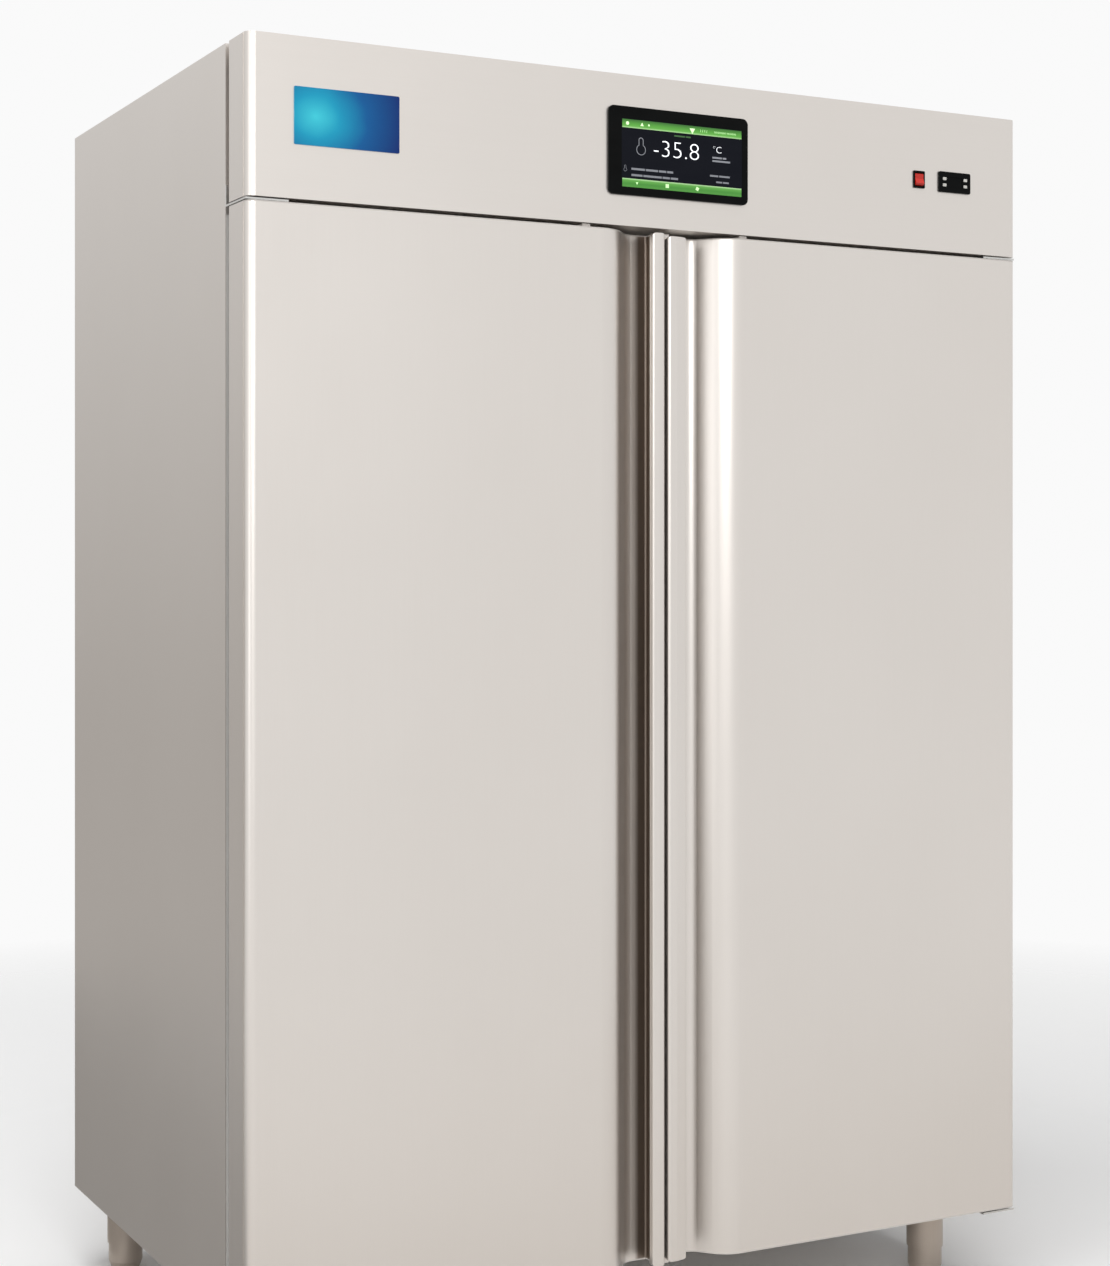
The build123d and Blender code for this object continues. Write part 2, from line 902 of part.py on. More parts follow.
def machine_back_grille():
    grille = Pos(0, -casing_sheet, 0) * grille_opening(grille_lap)
    box = grille_opening(0).bounding_box()
    column = (box.size.X - grille_bridge * (grille_columns + 1)) / grille_columns
    row = box.size.Z / grille_rows
    y = (back_y - back_recess - 3 * casing_sheet, back_y - back_recess)
    for across in range(grille_columns):
        left = box.min.X + grille_bridge + across * (column + grille_bridge)
        for up in range(grille_rows):
            low = box.min.Z + row * (up + 0.5) - grille_slot_height / 2
            grille = grille - block((left, left + column), y, (low, low + grille_slot_height))
    return grille


def unit_tray():
    x = (tray_left, tray_right)
    y = (tray_front, tray_front + tray_depth)
    tray = block(x, y, (cabinet_top, cabinet_top + tray_rim))
    room = block(
        (x[0] + tray_sheet, x[1] - tray_sheet),
        (y[0] + tray_sheet, y[1] - tray_sheet),
        (unit_floor, cabinet_top + tray_rim + overrun),
    )
    return tray - room


def condenser_coil_box():
    half = condenser_width / 2
    y = (condenser_front, condenser_front + condenser_thickness)
    return (unit_x - half, unit_x + half), y, (unit_floor, unit_floor + condenser_height)


def condenser_coil():
    return finned_block(*condenser_coil_box(), condenser_fin_count, condenser_grid)


def shroud_face_y():
    return condenser_front + condenser_thickness


def fan_centre():
    return (unit_x, unit_floor + condenser_height / 2)


def fan_shroud():
    half = condenser_width / 2
    x, z = fan_centre()
    y = (shroud_face_y(), shroud_face_y() + shroud_depth)
    hood = block((x - half, x + half), y, (unit_floor, unit_floor + condenser_height))
    hood = hood - block(
        (x - half + shroud_sheet, x + half - shroud_sheet),
        (y[0] - overrun, y[1] - shroud_sheet),
        (unit_floor + shroud_sheet, unit_floor + condenser_height - shroud_sheet),
    )
    ring_end = y[1] + shroud_ring_depth
    ring = rod((x, y[1] - shroud_sheet, z), (x, ring_end, z), shroud_ring_radius + shroud_sheet)
    throat = rod((x, y[0], z), (x, ring_end + overrun, z), shroud_ring_radius)
    return hood + ring - throat


def condenser_fan():
    return fan(condenser_fan_place(), condenser_hub_radius, condenser_fan_radius, condenser_fan_depth)


def condenser_fan_place():
    x, z = fan_centre()
    return (x, shroud_face_y() + shroud_depth - condenser_fan_depth / 2, z)


def condenser_fan_motor():
    seat_y = shroud_face_y() + shroud_depth
    reach = shroud_ring_radius + shroud_sheet + motor_post_radius + side_gap
    size = (condenser_fan_depth, condenser_motor_radius, condenser_motor_length)
    return fan_motor(condenser_fan_place(), *size, seat_y, reach, condenser_arm_angles)


def compressor_feet():
    half = compressor_foot_span / 2
    return [(unit_x + x, compressor_y + y) for x in (-half, half) for y in (-half, half)]


def compressor():
    low = unit_floor + mount_height
    high = low + compressor_height
    seam_z = low + compressor_seam_rise
    r = compressor_radius
    half = compressor_seam / 2
    outline = FilletPolyline(
        (0, low),
        (r - compressor_base_inset, low),
        (r, low + compressor_base_rise),
        (r, high - compressor_crown_drop),
        (r - compressor_crown_inset, high),
        (0, high),
        radius=compressor_radii,
    )
    profile = make_face(outline.edges() + Line((0, high), (0, low)).edges())
    shell = Pos(unit_x, compressor_y) * revolve(Plane.XZ * profile, Axis.Z)
    centre = (unit_x, compressor_y)
    seam = rod((*centre, seam_z - half), (*centre, seam_z + half), r + compressor_seam)
    shell = shell + seam + Pos(*centre, low) * compressor_foot_plate()
    half = terminal_box_width / 2
    terminal = block(
        (unit_x - r - terminal_box_proud, unit_x - r + terminal_box_sink),
        (compressor_y - half, compressor_y + half),
        (seam_z - terminal_box_drop - terminal_box_height, seam_z - terminal_box_drop),
    )
    return shell + fillet(terminal.edges().filter_by(Axis.Y), box_corner)


def compressor_foot_plate():
    """The pressed plate under the compressor: two rails joined by a bridge."""
    span = compressor_foot_span + 2 * compressor_foot_radius
    plate = RectangleRounded(span, span, compressor_foot_radius)
    between_rails = Rectangle(compressor_foot_span - 2 * compressor_foot_radius, 2 * span)
    return extrude(plate - between_rails + Rectangle(span, compressor_bridge), compressor_foot_sheet)


def compressor_mounts():
    middle = unit_floor + mount_height / 2
    low, high = middle - mount_waist / 2, middle + mount_waist / 2
    mounts = []
    for x, y in compressor_feet():
        mount = rod((x, y, unit_floor), (x, y, unit_floor + mount_height), mount_radius)
        waist = rod((x, y, low), (x, y, high), mount_radius + overrun)
        core = rod((x, y, low), (x, y, high), mount_radius - mount_waist_sink)
        mounts.append(mount - (waist - core))
    return group(*mounts)


def liquid_receiver():
    centre = (receiver_x, receiver_y)
    low = unit_floor + receiver_foot_height
    top = low + receiver_height
    can = rod((*centre, low), (*centre, top), receiver_radius)
    can = fillet(can.edges().filter_by(GeomType.CIRCLE), receiver_edge)
    skirt = rod((*centre, unit_floor), (*centre, low + receiver_edge), receiver_skirt_radius)
    stub = rod((*centre, top - side_gap), (*centre, top + receiver_stub), receiver_stub_radius)
    return can + skirt + stub


def drier_z():
    return unit_floor + drier_height


def filter_drier():
    y = (drier_y, drier_y + drier_length)
    can = rod((drier_x, y[0], drier_z()), (drier_x, y[1], drier_z()), drier_radius)
    can = fillet(can.edges().filter_by(GeomType.CIRCLE), drier_edge)
    middle = (y[0] + y[1]) / 2
    foot = block(
        (drier_x - drier_foot_width / 2, drier_x + drier_foot_width / 2),
        (middle - drier_foot_length / 2, middle + drier_foot_length / 2),
        (unit_floor, drier_z()),
    )
    return can + foot


def coil_inlets(coil_box, grid):
    """Where the ends of a coil's lowest and highest free tubes lie."""
    x, y, z = coil_box
    return [(x[1] + coil_tube_end, *tube_place(y, z, grid, *free)) for free in free_tubes(grid)]


def discharge_pipe():
    """From the compressor up and over to the condenser's highest tube."""
    start = (unit_x + compressor_radius, compressor_y, unit_floor + discharge_rise)
    end = coil_inlets(condenser_coil_box(), condenser_grid)[1]
    aisle_x = start[0] + pipe_aisle
    outer_x = end[0] + pipe_loop
    mid_y = shroud_face_y() + shroud_depth + pipe_loop
    points = [
        start,
        (aisle_x, start[1], start[2]),
        (aisle_x, mid_y + discharge_run, start[2]),
        (aisle_x, mid_y + discharge_run, end[2]),
        (aisle_x, mid_y, end[2]),
        (outer_x, mid_y, end[2]),
        (outer_x, end[1], end[2]),
        end,
    ]
    return pipe(points, pipe_radius, pipe_bend)


def condensate_pipe():
    """From the condenser's lowest tube up into the side of the receiver."""
    start = coil_inlets(condenser_coil_box(), condenser_grid)[0]
    entry_z = start[2] + receiver_entry_rise
    end = (receiver_x, receiver_y - receiver_radius, entry_z)
    rise_y = end[1] - pipe_aisle
    points = [
        start,
        (receiver_x, start[1], start[2]),
        (receiver_x, rise_y, start[2]),
        (receiver_x, rise_y, entry_z),
        end,
    ]
    return pipe(points, pipe_radius, pipe_bend)


def receiver_pipe():
    """From the top of the receiver to the filter drier."""
    low = unit_floor + receiver_foot_height + receiver_height + receiver_stub
    high = low + pipe_loop
    end = (drier_x, drier_y + drier_length, drier_z())
    points = [
        (receiver_x, receiver_y, low),
        (receiver_x, receiver_y, high),
        (drier_x, receiver_y, high),
        (drier_x, receiver_y, end[2]),
        end,
    ]
    return pipe(points, pipe_radius, pipe_bend)


def liquid_pipe():
    """From the filter drier down through the roof to the evaporator's highest tube."""
    start = (drier_x, drier_y, drier_z())
    end = coil_inlets(evaporator_coil_box(), evaporator_grid)[1]
    aisle_x = drier_x + pipe_aisle
    down_x = pipe_hole_x - pipe_hole_radius / 2 + side_gap
    turn_y = start[1] - pipe_aisle
    approach_y = pipe_hole_y - pipe_hole_approach
    side_x = end[0] + evaporator_aisle
    points = [
        start,
        (drier_x, turn_y, start[2]),
        (aisle_x, turn_y, start[2]),
        (aisle_x, approach_y, start[2]),
        (down_x, approach_y, start[2]),
        (down_x, pipe_hole_y, start[2]),
        (down_x, pipe_hole_y, end[2]),
        (side_x, pipe_hole_y, end[2]),
        (side_x, end[1], end[2]),
        end,
    ]
    return pipe(points, pipe_radius, pipe_bend)


def suction_pipe():
    """From the evaporator's lowest tube up through the roof and back to the compressor."""
    start = coil_inlets(evaporator_coil_box(), evaporator_grid)[0]
    end = (unit_x + compressor_radius, compressor_y, unit_floor + suction_rise)
    up_x = pipe_hole_x + pipe_hole_radius / 2 - side_gap
    side_x = start[0] + evaporator_aisle
    aisle_x = end[0] + pipe_bend + side_gap
    points = [
        start,
        (side_x, start[1], start[2]),
        (side_x, pipe_hole_y, start[2]),
        (up_x, pipe_hole_y, start[2]),
        (up_x, pipe_hole_y, end[2]),
        (aisle_x, pipe_hole_y, end[2]),
        (aisle_x, end[1], end[2]),
        end,
    ]
    return pipe(points, suction_radius, pipe_bend)


def refrigerant_pipes():
    return group(discharge_pipe(), condensate_pipe(), receiver_pipe(), liquid_pipe(), suction_pipe())


def electrical_box():
    x = (box_left, box_left + box_width)
    y = (box_front, box_front + box_depth)
    z = (cabinet_top, cabinet_top + box_height)
    body = block(x, y, z)
    body = fillet(body.edges().filter_by(Axis.Z), box_corner)
    lid = block(
        (x[0] - box_lid_lip, x[1] + box_lid_lip),
        (y[0] - box_lid_lip, y[1] + box_lid_lip),
        (z[1], z[1] + box_lid),
    )
    return body + fillet(lid.edges().filter_by(Axis.Z), box_corner)


def gland_place():
    return (gland_x, back_y - back_recess, cabinet_top + gland_rise)


def gland_hole():
    x, y, z = gland_place()
    return rod((x, y - 2 * casing_sheet, z), (x, y + overrun, z), gland_thread_radius + pin_gap)


def cable_gland():
    x, y, z = gland_place()
    front = y - casing_sheet
    hexagon = Pos(x, z) * RegularPolygon(gland_nut_radius, 6)
    nut = extrude(Plane.XZ.offset(-y) * hexagon, -gland_nut_depth)
    lock = extrude(Plane.XZ.offset(-front) * hexagon, gland_nut_depth)
    nut_end = y + gland_nut_depth
    end = nut_end + gland_dome_depth
    dome = rod((x, nut_end, z), (x, end, z), gland_dome_radius)
    dome = fillet(dome.edges().filter_by(GeomType.CIRCLE).group_by(Axis.Y)[-1], gland_dome_edge)
    thread = rod((x, front - gland_thread_length, z), (x, y, z), gland_thread_radius)
    bore = rod((x, front - gland_thread_length - overrun, z), (x, end + overrun, z), gland_bore)
    return nut + lock + dome + thread - bore


# Hinges of the doors and the fascia


def hinge_rod(low, high, radius):
    """A round length on the right door's hinge axis."""
    return rod((hinge_x, hinge_y, low), (hinge_x, hinge_y, high), radius)


def door_hinge_brackets():
    outer = half_width
    inner = half_width - hinge_plate_width
    plate_y = (face_y + hinge_plate_front, cabinet_front_y)
    flange_y = (cabinet_front_y - hinge_plate, cabinet_front_y)
    middle = (door_top + fascia_bottom) / 2
    top_z = (middle - hinge_plate / 2, middle + hinge_plate / 2)
    top = block((inner, outer), plate_y, top_z)
    top = top + block((inner, outer), flange_y, (top_z[1], top_z[1] + hinge_flange_height))
    top = top + hinge_rod(door_top - hinge_pin_length, top_z[0], hinge_pin_radius)
    top = top + hinge_rod(door_top + seat_gap, top_z[0], hinge_collar_radius)
    low_z = (cabinet_bottom + hinge_plate, cabinet_bottom + 2 * hinge_plate)
    low = block((inner, outer), plate_y, low_z)
    low = low + block((inner, outer), flange_y, (low_z[1], door_bottom + gasket_inset - 2 * side_gap))
    low = low + hinge_rod(low_z[1], door_bottom + hinge_pin_length, hinge_pin_radius)
    low = low + hinge_rod(low_z[1], door_bottom - seat_gap, hinge_collar_radius)
    return group(both_sides(top), both_sides(low))


def fascia_hinge_places():
    return (-fascia_hinge_x, fascia_hinge_x)


def fascia_hinges():
    brackets = []
    half = fascia_knuckle_length / 2
    y, z = fascia_hinge_y, fascia_hinge_z
    for x in fascia_hinge_places():
        inner = half + seat_gap
        outer = inner + fascia_ear
        bracket = block(
            (x - outer, x + outer),
            (cabinet_front_y - fascia_bracket_sheet, cabinet_front_y),
            (overall_top - fascia_bracket_height, overall_top - side_gap),
        )
        for start, end in ((-outer, -inner), (inner, outer)):
            ear = rod((x + start, y, z), (x + end, y, z), fascia_knuckle_radius)
            web = block(
                (x + start, x + end),
                (y, cabinet_front_y),
                (z - fascia_knuckle_radius, z + fascia_knuckle_radius),
            )
            bracket = bracket + ear + web
        bracket = bracket + rod((x - outer, y, z), (x + outer, y, z), fascia_pin_radius)
        brackets.append(bracket)
    return group(*brackets)


# Doors


def door_outline(groove_reach, groove_slope):
    """The right-hand door in plan, without its pull: X from the middle of the cabinet."""
    neck = meeting_x + neck_width
    floor_x = groove_reach - groove_slope
    groove_y = face_y + groove_depth
    lip_y = face_y + lip_thickness
    corners = [
        (meeting_x, lip_y),
        (meeting_x, door_back_y),
        (half_width, door_back_y),
        (half_width, face_y),
        (groove_reach, face_y),
        (floor_x, groove_y),
        (neck, groove_y),
        (neck, lip_y),
    ]
    radii = [0, 0, 0, edge_radius, groove_start_radius, groove_floor_radius, groove_neck_radius, 0]
    return plan_face(corners, radii)


def door_room(outline):
    """The space inside the door's bent skin."""
    return offset(outline, amount=-skin_sheet, kind=Kind.INTERSECTION)


def door_heights():
    return (door_bottom + cap_sheet, door_top - cap_sheet)


def boss_heights():
    return (
        (door_bottom, door_bottom + hinge_boss_depth),
        (door_top - hinge_boss_depth, door_top),
    )


def hinge_bosses(radius):
    bosses = []
    for low, high in boss_heights():
        bosses.append(rod((hinge_x, hinge_y, low), (hinge_x, hinge_y, high), radius))
    return bosses


def door_back_sheet():
    return block(
        (meeting_x + skin_sheet, half_width - skin_sheet),
        (door_back_y - skin_sheet, door_back_y),
        door_heights(),
    )


def door_skin(outline):
    z = door_heights()
    skin = rise(outline, z) - rise(door_room(outline), z) - door_back_sheet()
    seam_y = face_y + edge_radius + seam_width
    seam = block((half_width - seam_depth, half_width + overrun), (seam_y - seam_width, seam_y), z)
    return skin - seam


def plug(margin, depth):
    """The raised panel of the door's inner side, which fits inside the gasket."""
    left = meeting_x + gasket_meeting_inset + gasket_width + margin
    right = half_width - gasket_inset - gasket_width - margin
    low = door_bottom + gasket_inset + gasket_width + margin
    high = door_top - gasket_inset - gasket_width - margin
    centre = Pos((left + right) / 2, (low + high) / 2)
    base = Plane.XZ.offset(-door_back_y) * centre * Rectangle(right - left, high - low)
    return extrude(base, -depth, taper=plug_draft)


def door_liner():
    panel = door_back_sheet() + plug(plug_margin, plug_depth)
    hollow = plug(plug_margin + plug_sheet, plug_depth - plug_sheet)
    return panel - hollow - plug_neck()


def plug_neck():
    """Where the foam passes through the back sheet into the raised panel."""
    box = plug(plug_margin + plug_sheet, plug_depth - plug_sheet).bounding_box()
    return block((box.min.X, box.max.X), (door_back_y - skin_sheet, door_back_y), (box.min.Z, box.max.Z))


def door_foam(outline):
    foam = rise(door_room(outline), door_heights()) - door_back_sheet()
    foam = foam + plug_neck() + plug(plug_margin + plug_sheet, plug_depth - plug_sheet)
    for boss in hinge_bosses(hinge_boss_radius):
        foam = foam - boss
    return foam


def door_end_caps(outline):
    low_z, high_z = door_heights()
    caps = [rise(outline, (door_bottom, low_z)), rise(outline, (high_z, door_top))]
    bores = hinge_bosses(hinge_pin_radius + pin_gap)
    capped = []
    for cap, boss, bore in zip(caps, hinge_bosses(hinge_boss_radius), bores):
        capped.append(cap + boss - bore)
    door_block = block(
        (door_block_offset - door_block_width / 2, door_block_offset + door_block_width / 2),
        (face_y + door_block_setback, face_y + door_block_setback + door_block_depth),
        (door_top, door_top + door_block_height),
    )
    capped[1] = capped[1] + door_block
    return group(*capped)


def ring(inset, meeting_inset, width, y):
    left = meeting_x + meeting_inset
    right = half_width - inset
    low = door_bottom + inset
    high = door_top - inset
    frame = block((left, right), y, (low, high))
    return frame - block(
        (left + width, right - width),
        (y[0] - overrun, y[1] + overrun),
        (low + width, high - width),
    )


def door_gasket():
    base_y = (door_back_y, door_back_y + gasket_base_depth)
    head_y = (cabinet_front_y - seat_gap - gasket_head_depth, cabinet_front_y - seat_gap)
    inset = (gasket_width - gasket_bellows_width) / 2
    base = ring(gasket_inset, gasket_meeting_inset, gasket_width, base_y)
    bellows = ring(
        gasket_inset + inset,
        gasket_meeting_inset + inset,
        gasket_bellows_width,
        (base_y[1], head_y[0]),
    )
    return base + bellows + ring(gasket_inset, gasket_meeting_inset, gasket_width, head_y)


def door_pull(lip_width, lip_fall, lip_trim):
    """The bar along the meeting edge; its free side overhangs the groove."""
    left = meeting_x
    right = meeting_x + lip_width
    lip_y = face_y + lip_thickness
    corners = [
        (left, lip_y),
        (left, face_y),
        (left + lip_width * lip_crown_share, face_y),
        (right, face_y + lip_fall),
        (right, lip_y),
    ]
    radii = [lip_seam_radius, lip_corner, lip_crown_radius, lip_tip_radius, lip_tip_radius]
    low = door_bottom + lip_trim
    high = door_top - lip_trim
    bar = rise(plan_face(corners, radii), (low, high))
    ends = front_plate(
        (left + right) / 2,
        (low + high) / 2,
        lip_width,
        high - low,
        (face_y - overrun, lip_y + overrun),
        lip_end_radius,
    )
    return bar & ends


# Fascia


def fascia_outline():
    corners = [
        (-half_width, door_back_y),
        (-half_width, face_y),
        (half_width, face_y),
        (half_width, door_back_y),
    ]
    return plan_face(corners, [0, edge_radius, edge_radius, 0])


def fascia_panel():
    z = (fascia_bottom, overall_top)
    outline = fascia_outline()
    inside = offset(outline, amount=-skin_sheet, kind=Kind.INTERSECTION)
    shell = rise(outline, z) - rise(inside, (z[0] + skin_sheet, z[1] - skin_sheet))
    edge = half_width - fascia_flange
    shell = shell - block(
        (-edge, edge),
        (door_back_y - 2 * skin_sheet, door_back_y + overrun),
        (z[0] + fascia_flange, z[1] - fascia_flange),
    )
    seam_y = face_y + edge_radius + seam_width
    for side in (-1, 1):
        x = sorted((side * (half_width - seam_depth), side * (half_width + overrun)))
        shell = shell - block(x, (seam_y - seam_width, seam_y), (z[0] - overrun, z[1] + overrun))
    for cut in fascia_cuts():
        shell = shell - cut
    for x in fascia_hinge_places():
        shell = shell + fascia_knuckle(x)
    return shell


def fascia_knuckle(x):
    """A hinge knuckle behind the fascia's top edge, on its leaf."""
    half = fascia_knuckle_length / 2
    y, z = fascia_hinge_y, fascia_hinge_z
    low = z - fascia_knuckle_radius
    knuckle = rod((x - half, y, z), (x + half, y, z), fascia_knuckle_radius)
    leaf = block((x - half, x + half), (door_back_y - skin_sheet, y), (low, low + 2 * skin_sheet))
    bore = rod((x - half - overrun, y, z), (x + half + overrun, y, z), fascia_pin_radius + pin_gap)
    return leaf + knuckle - bore


def control_centre(x, above):
    return (x, fascia_bottom + above)


def fascia_cuts():
    y = (face_y - overrun, face_y + skin_sheet + overrun)
    x, z = control_centre(screen_x, screen_rise)
    width = bezel_width - 2 * bezel_body_margin
    height = bezel_height - 2 * bezel_body_margin
    cuts = [front_plate(x, z, width, height, y, body_corner)]
    x, z = control_centre(rocker_x, rocker_rise)
    width = rocker_bezel_width - 2 * rocker_bezel_proud
    height = rocker_bezel_height - 2 * rocker_bezel_proud
    cuts.append(front_plate(x, z, width, height, y, small_corner))
    x, z = control_centre(controller_x, controller_rise)
    width = controller_width - 2 * controller_body_margin
    height = controller_height - 2 * controller_body_margin
    cuts.append(front_plate(x, z, width, height, y, small_corner))
    return cuts


def name_plate():
    x, z = control_centre(plate_x, plate_rise)
    return front_plate(x, z, plate_width, plate_height, (face_y - plate_sheet, face_y), plate_corner)


def screen_bezel():
    x, z = control_centre(screen_x, screen_rise)
    flange = front_plate(x, z, bezel_width, bezel_height, (face_y - bezel_proud, face_y), bezel_corner)
    width = bezel_width - 2 * bezel_body_margin
    height = bezel_height - 2 * bezel_body_margin
    body = front_plate(x, z, width, height, (face_y, face_y + bezel_body_depth), body_corner)
    pocket = front_plate(
        x + display_shift_x,
        z + display_shift_z,
        display_width,
        display_height,
        (face_y - bezel_proud - overrun, face_y - bezel_proud + display_sink + display_glass),
        body_corner,
    )
    return flange + body - pocket


def touchscreen():
    x, z = control_centre(screen_x, screen_rise)
    front = face_y - bezel_proud + display_sink
    return front_plate(
        x + display_shift_x,
        z + display_shift_z,
        display_width,
        display_height,
        (front, front + display_glass),
        body_corner,
    )


def rocker_pivot():
    """The rocker's axis, set so that its raised end stands control_proud out of the fascia."""
    x, z = control_centre(rocker_x, rocker_rise)
    tilt = math.radians(rocker_tilt)
    corner = math.acos(rocker_notch * math.cos(tilt) / rocker_swing_radius) - 2 * tilt
    return (x, face_y - control_proud + rocker_swing_radius * math.cos(corner), z)


def rocker_half_width():
    return rocker_bezel_width / 2 - rocker_bezel_rim - seat_gap


def rocker_bezel():
    x, z = control_centre(rocker_x, rocker_rise)
    width = rocker_bezel_width
    height = rocker_bezel_height
    frame = front_plate(x, z, width, height, (face_y - rocker_bezel_proud, face_y), body_corner)
    inset = 2 * rocker_bezel_proud
    behind = (face_y, face_y + rocker_body_depth)
    body = front_plate(x, z, width - inset, height - inset, behind, small_corner)
    pivot = rocker_pivot()
    half = rocker_half_width() + seat_gap
    reach = rocker_swing_radius + seat_gap
    well = rod((x - half, pivot[1], z), (x + half, pivot[1], z), reach)
    mouth_y = (face_y - rocker_bezel_proud - overrun, pivot[1])
    mouth = block((x - half, x + half), mouth_y, (z - reach, z + reach))
    return frame + body - well - mouth


def power_rocker():
    x, y, z = rocker_pivot()
    half = rocker_half_width()
    drum = rod((-half, 0, 0), (half, 0, 0), rocker_swing_radius)
    reach = rocker_swing_radius * 2
    notch = make_face(
        Polyline(
            (-rocker_notch, 0),
            (-rocker_notch - reach * math.tan(math.radians(rocker_tilt)), reach),
            (-reach, reach),
            (-reach, -reach),
            (-rocker_notch - reach * math.tan(math.radians(rocker_tilt)), -reach),
            close=True,
        ).edges()
    )
    front = extrude(Plane.YZ.offset(-half - overrun) * notch, 2 * (half + overrun))
    return Pos(x, y, z) * Rot(-rocker_tilt, 0, 0) * (drum - front)


def key_places():
    x, z = control_centre(controller_x, controller_rise)
    return {
        "set_key": (x - key_column, z + key_row),
        "defrost_key": (x - key_column, z - key_row),
        "up_key": (x + key_column, z + key_row),
        "down_key": (x + key_column, z - key_row),
    }


def controller_housing():
    x, z = control_centre(controller_x, controller_rise)
    front = face_y - controller_proud
    width = controller_width
    height = controller_height
    flange = front_plate(x, z, width, height, (front, face_y), controller_corner)
    inset = 2 * controller_body_margin
    behind = (face_y, face_y + controller_body_depth)
    body = front_plate(x, z, width - inset, height - inset, behind, small_corner)
    housing = flange + body
    housing = housing - front_plate(
        x,
        z,
        controller_window_width,
        controller_window_height,
        (front - overrun, front + controller_window_sink),
        small_corner,
    )
    pocket = (front - overrun, front + key_thickness - key_proud + key_travel + seat_gap)
    width = key_width + 2 * seat_gap
    height = key_height + 2 * seat_gap
    for key_x, key_z in key_places().values():
        housing = housing - front_plate(key_x, key_z, width, height, pocket, small_corner)
    return housing


def controller_key(x, z):
    front = face_y - controller_proud - key_proud
    return front_plate(x, z, key_width, key_height, (front, front + key_thickness), key_corner)


def mirrored(piece):
    return mirror(piece, about=Plane.YZ)


def unchanged(piece):
    return piece


def door_nodes(side, keep, lip, groove):
    """The nodes of one door, modelled on the right and kept or mirrored."""
    outline = door_outline(*groove)
    pieces = {
        "skin": door_skin(outline),
        "foam": door_foam(outline),
        "liner": door_liner(),
        "gasket": door_gasket(),
        "pull": door_pull(*lip),
        "end_caps": door_end_caps(outline),
    }
    return {side + "_door_" + name: keep(piece) for name, piece in pieces.items()}


def all_nodes():
    shelf = wire_shelf()
    nodes = {
        "outer_casing": outer_casing(),
        "foam_insulation": foam_insulation(),
        "inner_liner": inner_liner(),
        "front_frame": front_frame(),
        "center_mullion": center_mullion(),
        "leg_tubes": leg_tubes(),
        "machine_casing": machine_casing(),
        "machine_back_grille": machine_back_grille(),
        "unit_tray": unit_tray(),
        "compressor": compressor(),
        "compressor_mounts": compressor_mounts(),
        "condenser_coil": condenser_coil(),
        "fan_shroud": fan_shroud(),
        "condenser_fan_motor": condenser_fan_motor(),
        "condenser_fan": condenser_fan(),
        "liquid_receiver": liquid_receiver(),
        "filter_drier": filter_drier(),
        "refrigerant_pipes": refrigerant_pipes(),
        "electrical_box": electrical_box(),
        "cable_gland": cable_gland(),
        "evaporator_coil": evaporator_coil(),
        "evaporator_cover": evaporator_cover(),
        "evaporator_fan_motors": evaporator_fan_motors(),
        "drip_tray": drip_tray(),
        "shelf_pilasters": shelf_pilasters(),
        "shelf_runners": shelf_runners(),
        "left_shelves": column_shelves(shelf),
        "right_shelves": column_shelves(mirrored(shelf)),
        "door_hinge_brackets": door_hinge_brackets(),
        "fascia_hinges": fascia_hinges(),
        "fascia_panel": fascia_panel(),
        "name_plate": name_plate(),
        "screen_bezel": screen_bezel(),
        "touchscreen": touchscreen(),
        "rocker_bezel": rocker_bezel(),
        "power_rocker": power_rocker(),
        "controller_housing": controller_housing(),
    }
    for name, place in evaporator_fan_places().items():
        nodes[name] = fan(place, evaporator_hub_radius, evaporator_fan_radius, evaporator_fan_depth)
    for name, place in leg_places().items():
        nodes[name] = levelling_foot(*place)
    for name, place in key_places().items():
        nodes[name] = controller_key(*place)
    lip = (left_lip_width, left_lip_fall, left_lip_trim)
    nodes.update(door_nodes("left", mirrored, lip, (left_groove_reach, left_groove_slope)))
    lip = (right_lip_width, right_lip_fall, right_lip_trim)
    nodes.update(door_nodes("right", unchanged, lip, (right_groove_reach, right_groove_slope)))
    return nodes


os.makedirs("parts", exist_ok=True)
for node, shape in all_nodes().items():
    export_step(shape, "parts/" + node + ".step")
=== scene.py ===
import json
import math

import bmesh
import bpy
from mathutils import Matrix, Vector


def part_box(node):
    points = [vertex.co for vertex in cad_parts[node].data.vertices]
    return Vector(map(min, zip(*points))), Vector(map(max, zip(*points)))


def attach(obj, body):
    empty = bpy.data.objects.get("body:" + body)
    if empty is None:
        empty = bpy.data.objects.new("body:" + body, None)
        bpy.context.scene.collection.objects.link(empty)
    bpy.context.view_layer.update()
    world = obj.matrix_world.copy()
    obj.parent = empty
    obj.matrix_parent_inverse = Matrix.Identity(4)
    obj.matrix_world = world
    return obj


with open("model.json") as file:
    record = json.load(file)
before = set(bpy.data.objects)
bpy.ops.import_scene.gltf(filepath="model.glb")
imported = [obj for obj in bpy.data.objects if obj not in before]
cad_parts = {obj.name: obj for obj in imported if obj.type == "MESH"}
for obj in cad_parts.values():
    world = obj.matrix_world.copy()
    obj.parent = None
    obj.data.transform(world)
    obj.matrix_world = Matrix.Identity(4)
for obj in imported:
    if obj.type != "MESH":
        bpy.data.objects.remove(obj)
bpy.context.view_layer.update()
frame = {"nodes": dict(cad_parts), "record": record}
nodes = frame["nodes"]

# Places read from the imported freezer, in metres
screen_low, screen_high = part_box("touchscreen")
plate_low, plate_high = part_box("name_plate")
door_face_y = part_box("right_door_skin")[0].y
side_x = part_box("fascia_panel")[0].x


# Colours


def srgb(red, green, blue):
    """A colour read off a display, 0 to 255, as the light it stands for."""
    def linear(value):
        share = value / 255
        return share / 12.92 if share <= 0.04045 else ((share + 0.055) / 1.055) ** 2.4
    return (linear(red), linear(green), linear(blue), 1.0)


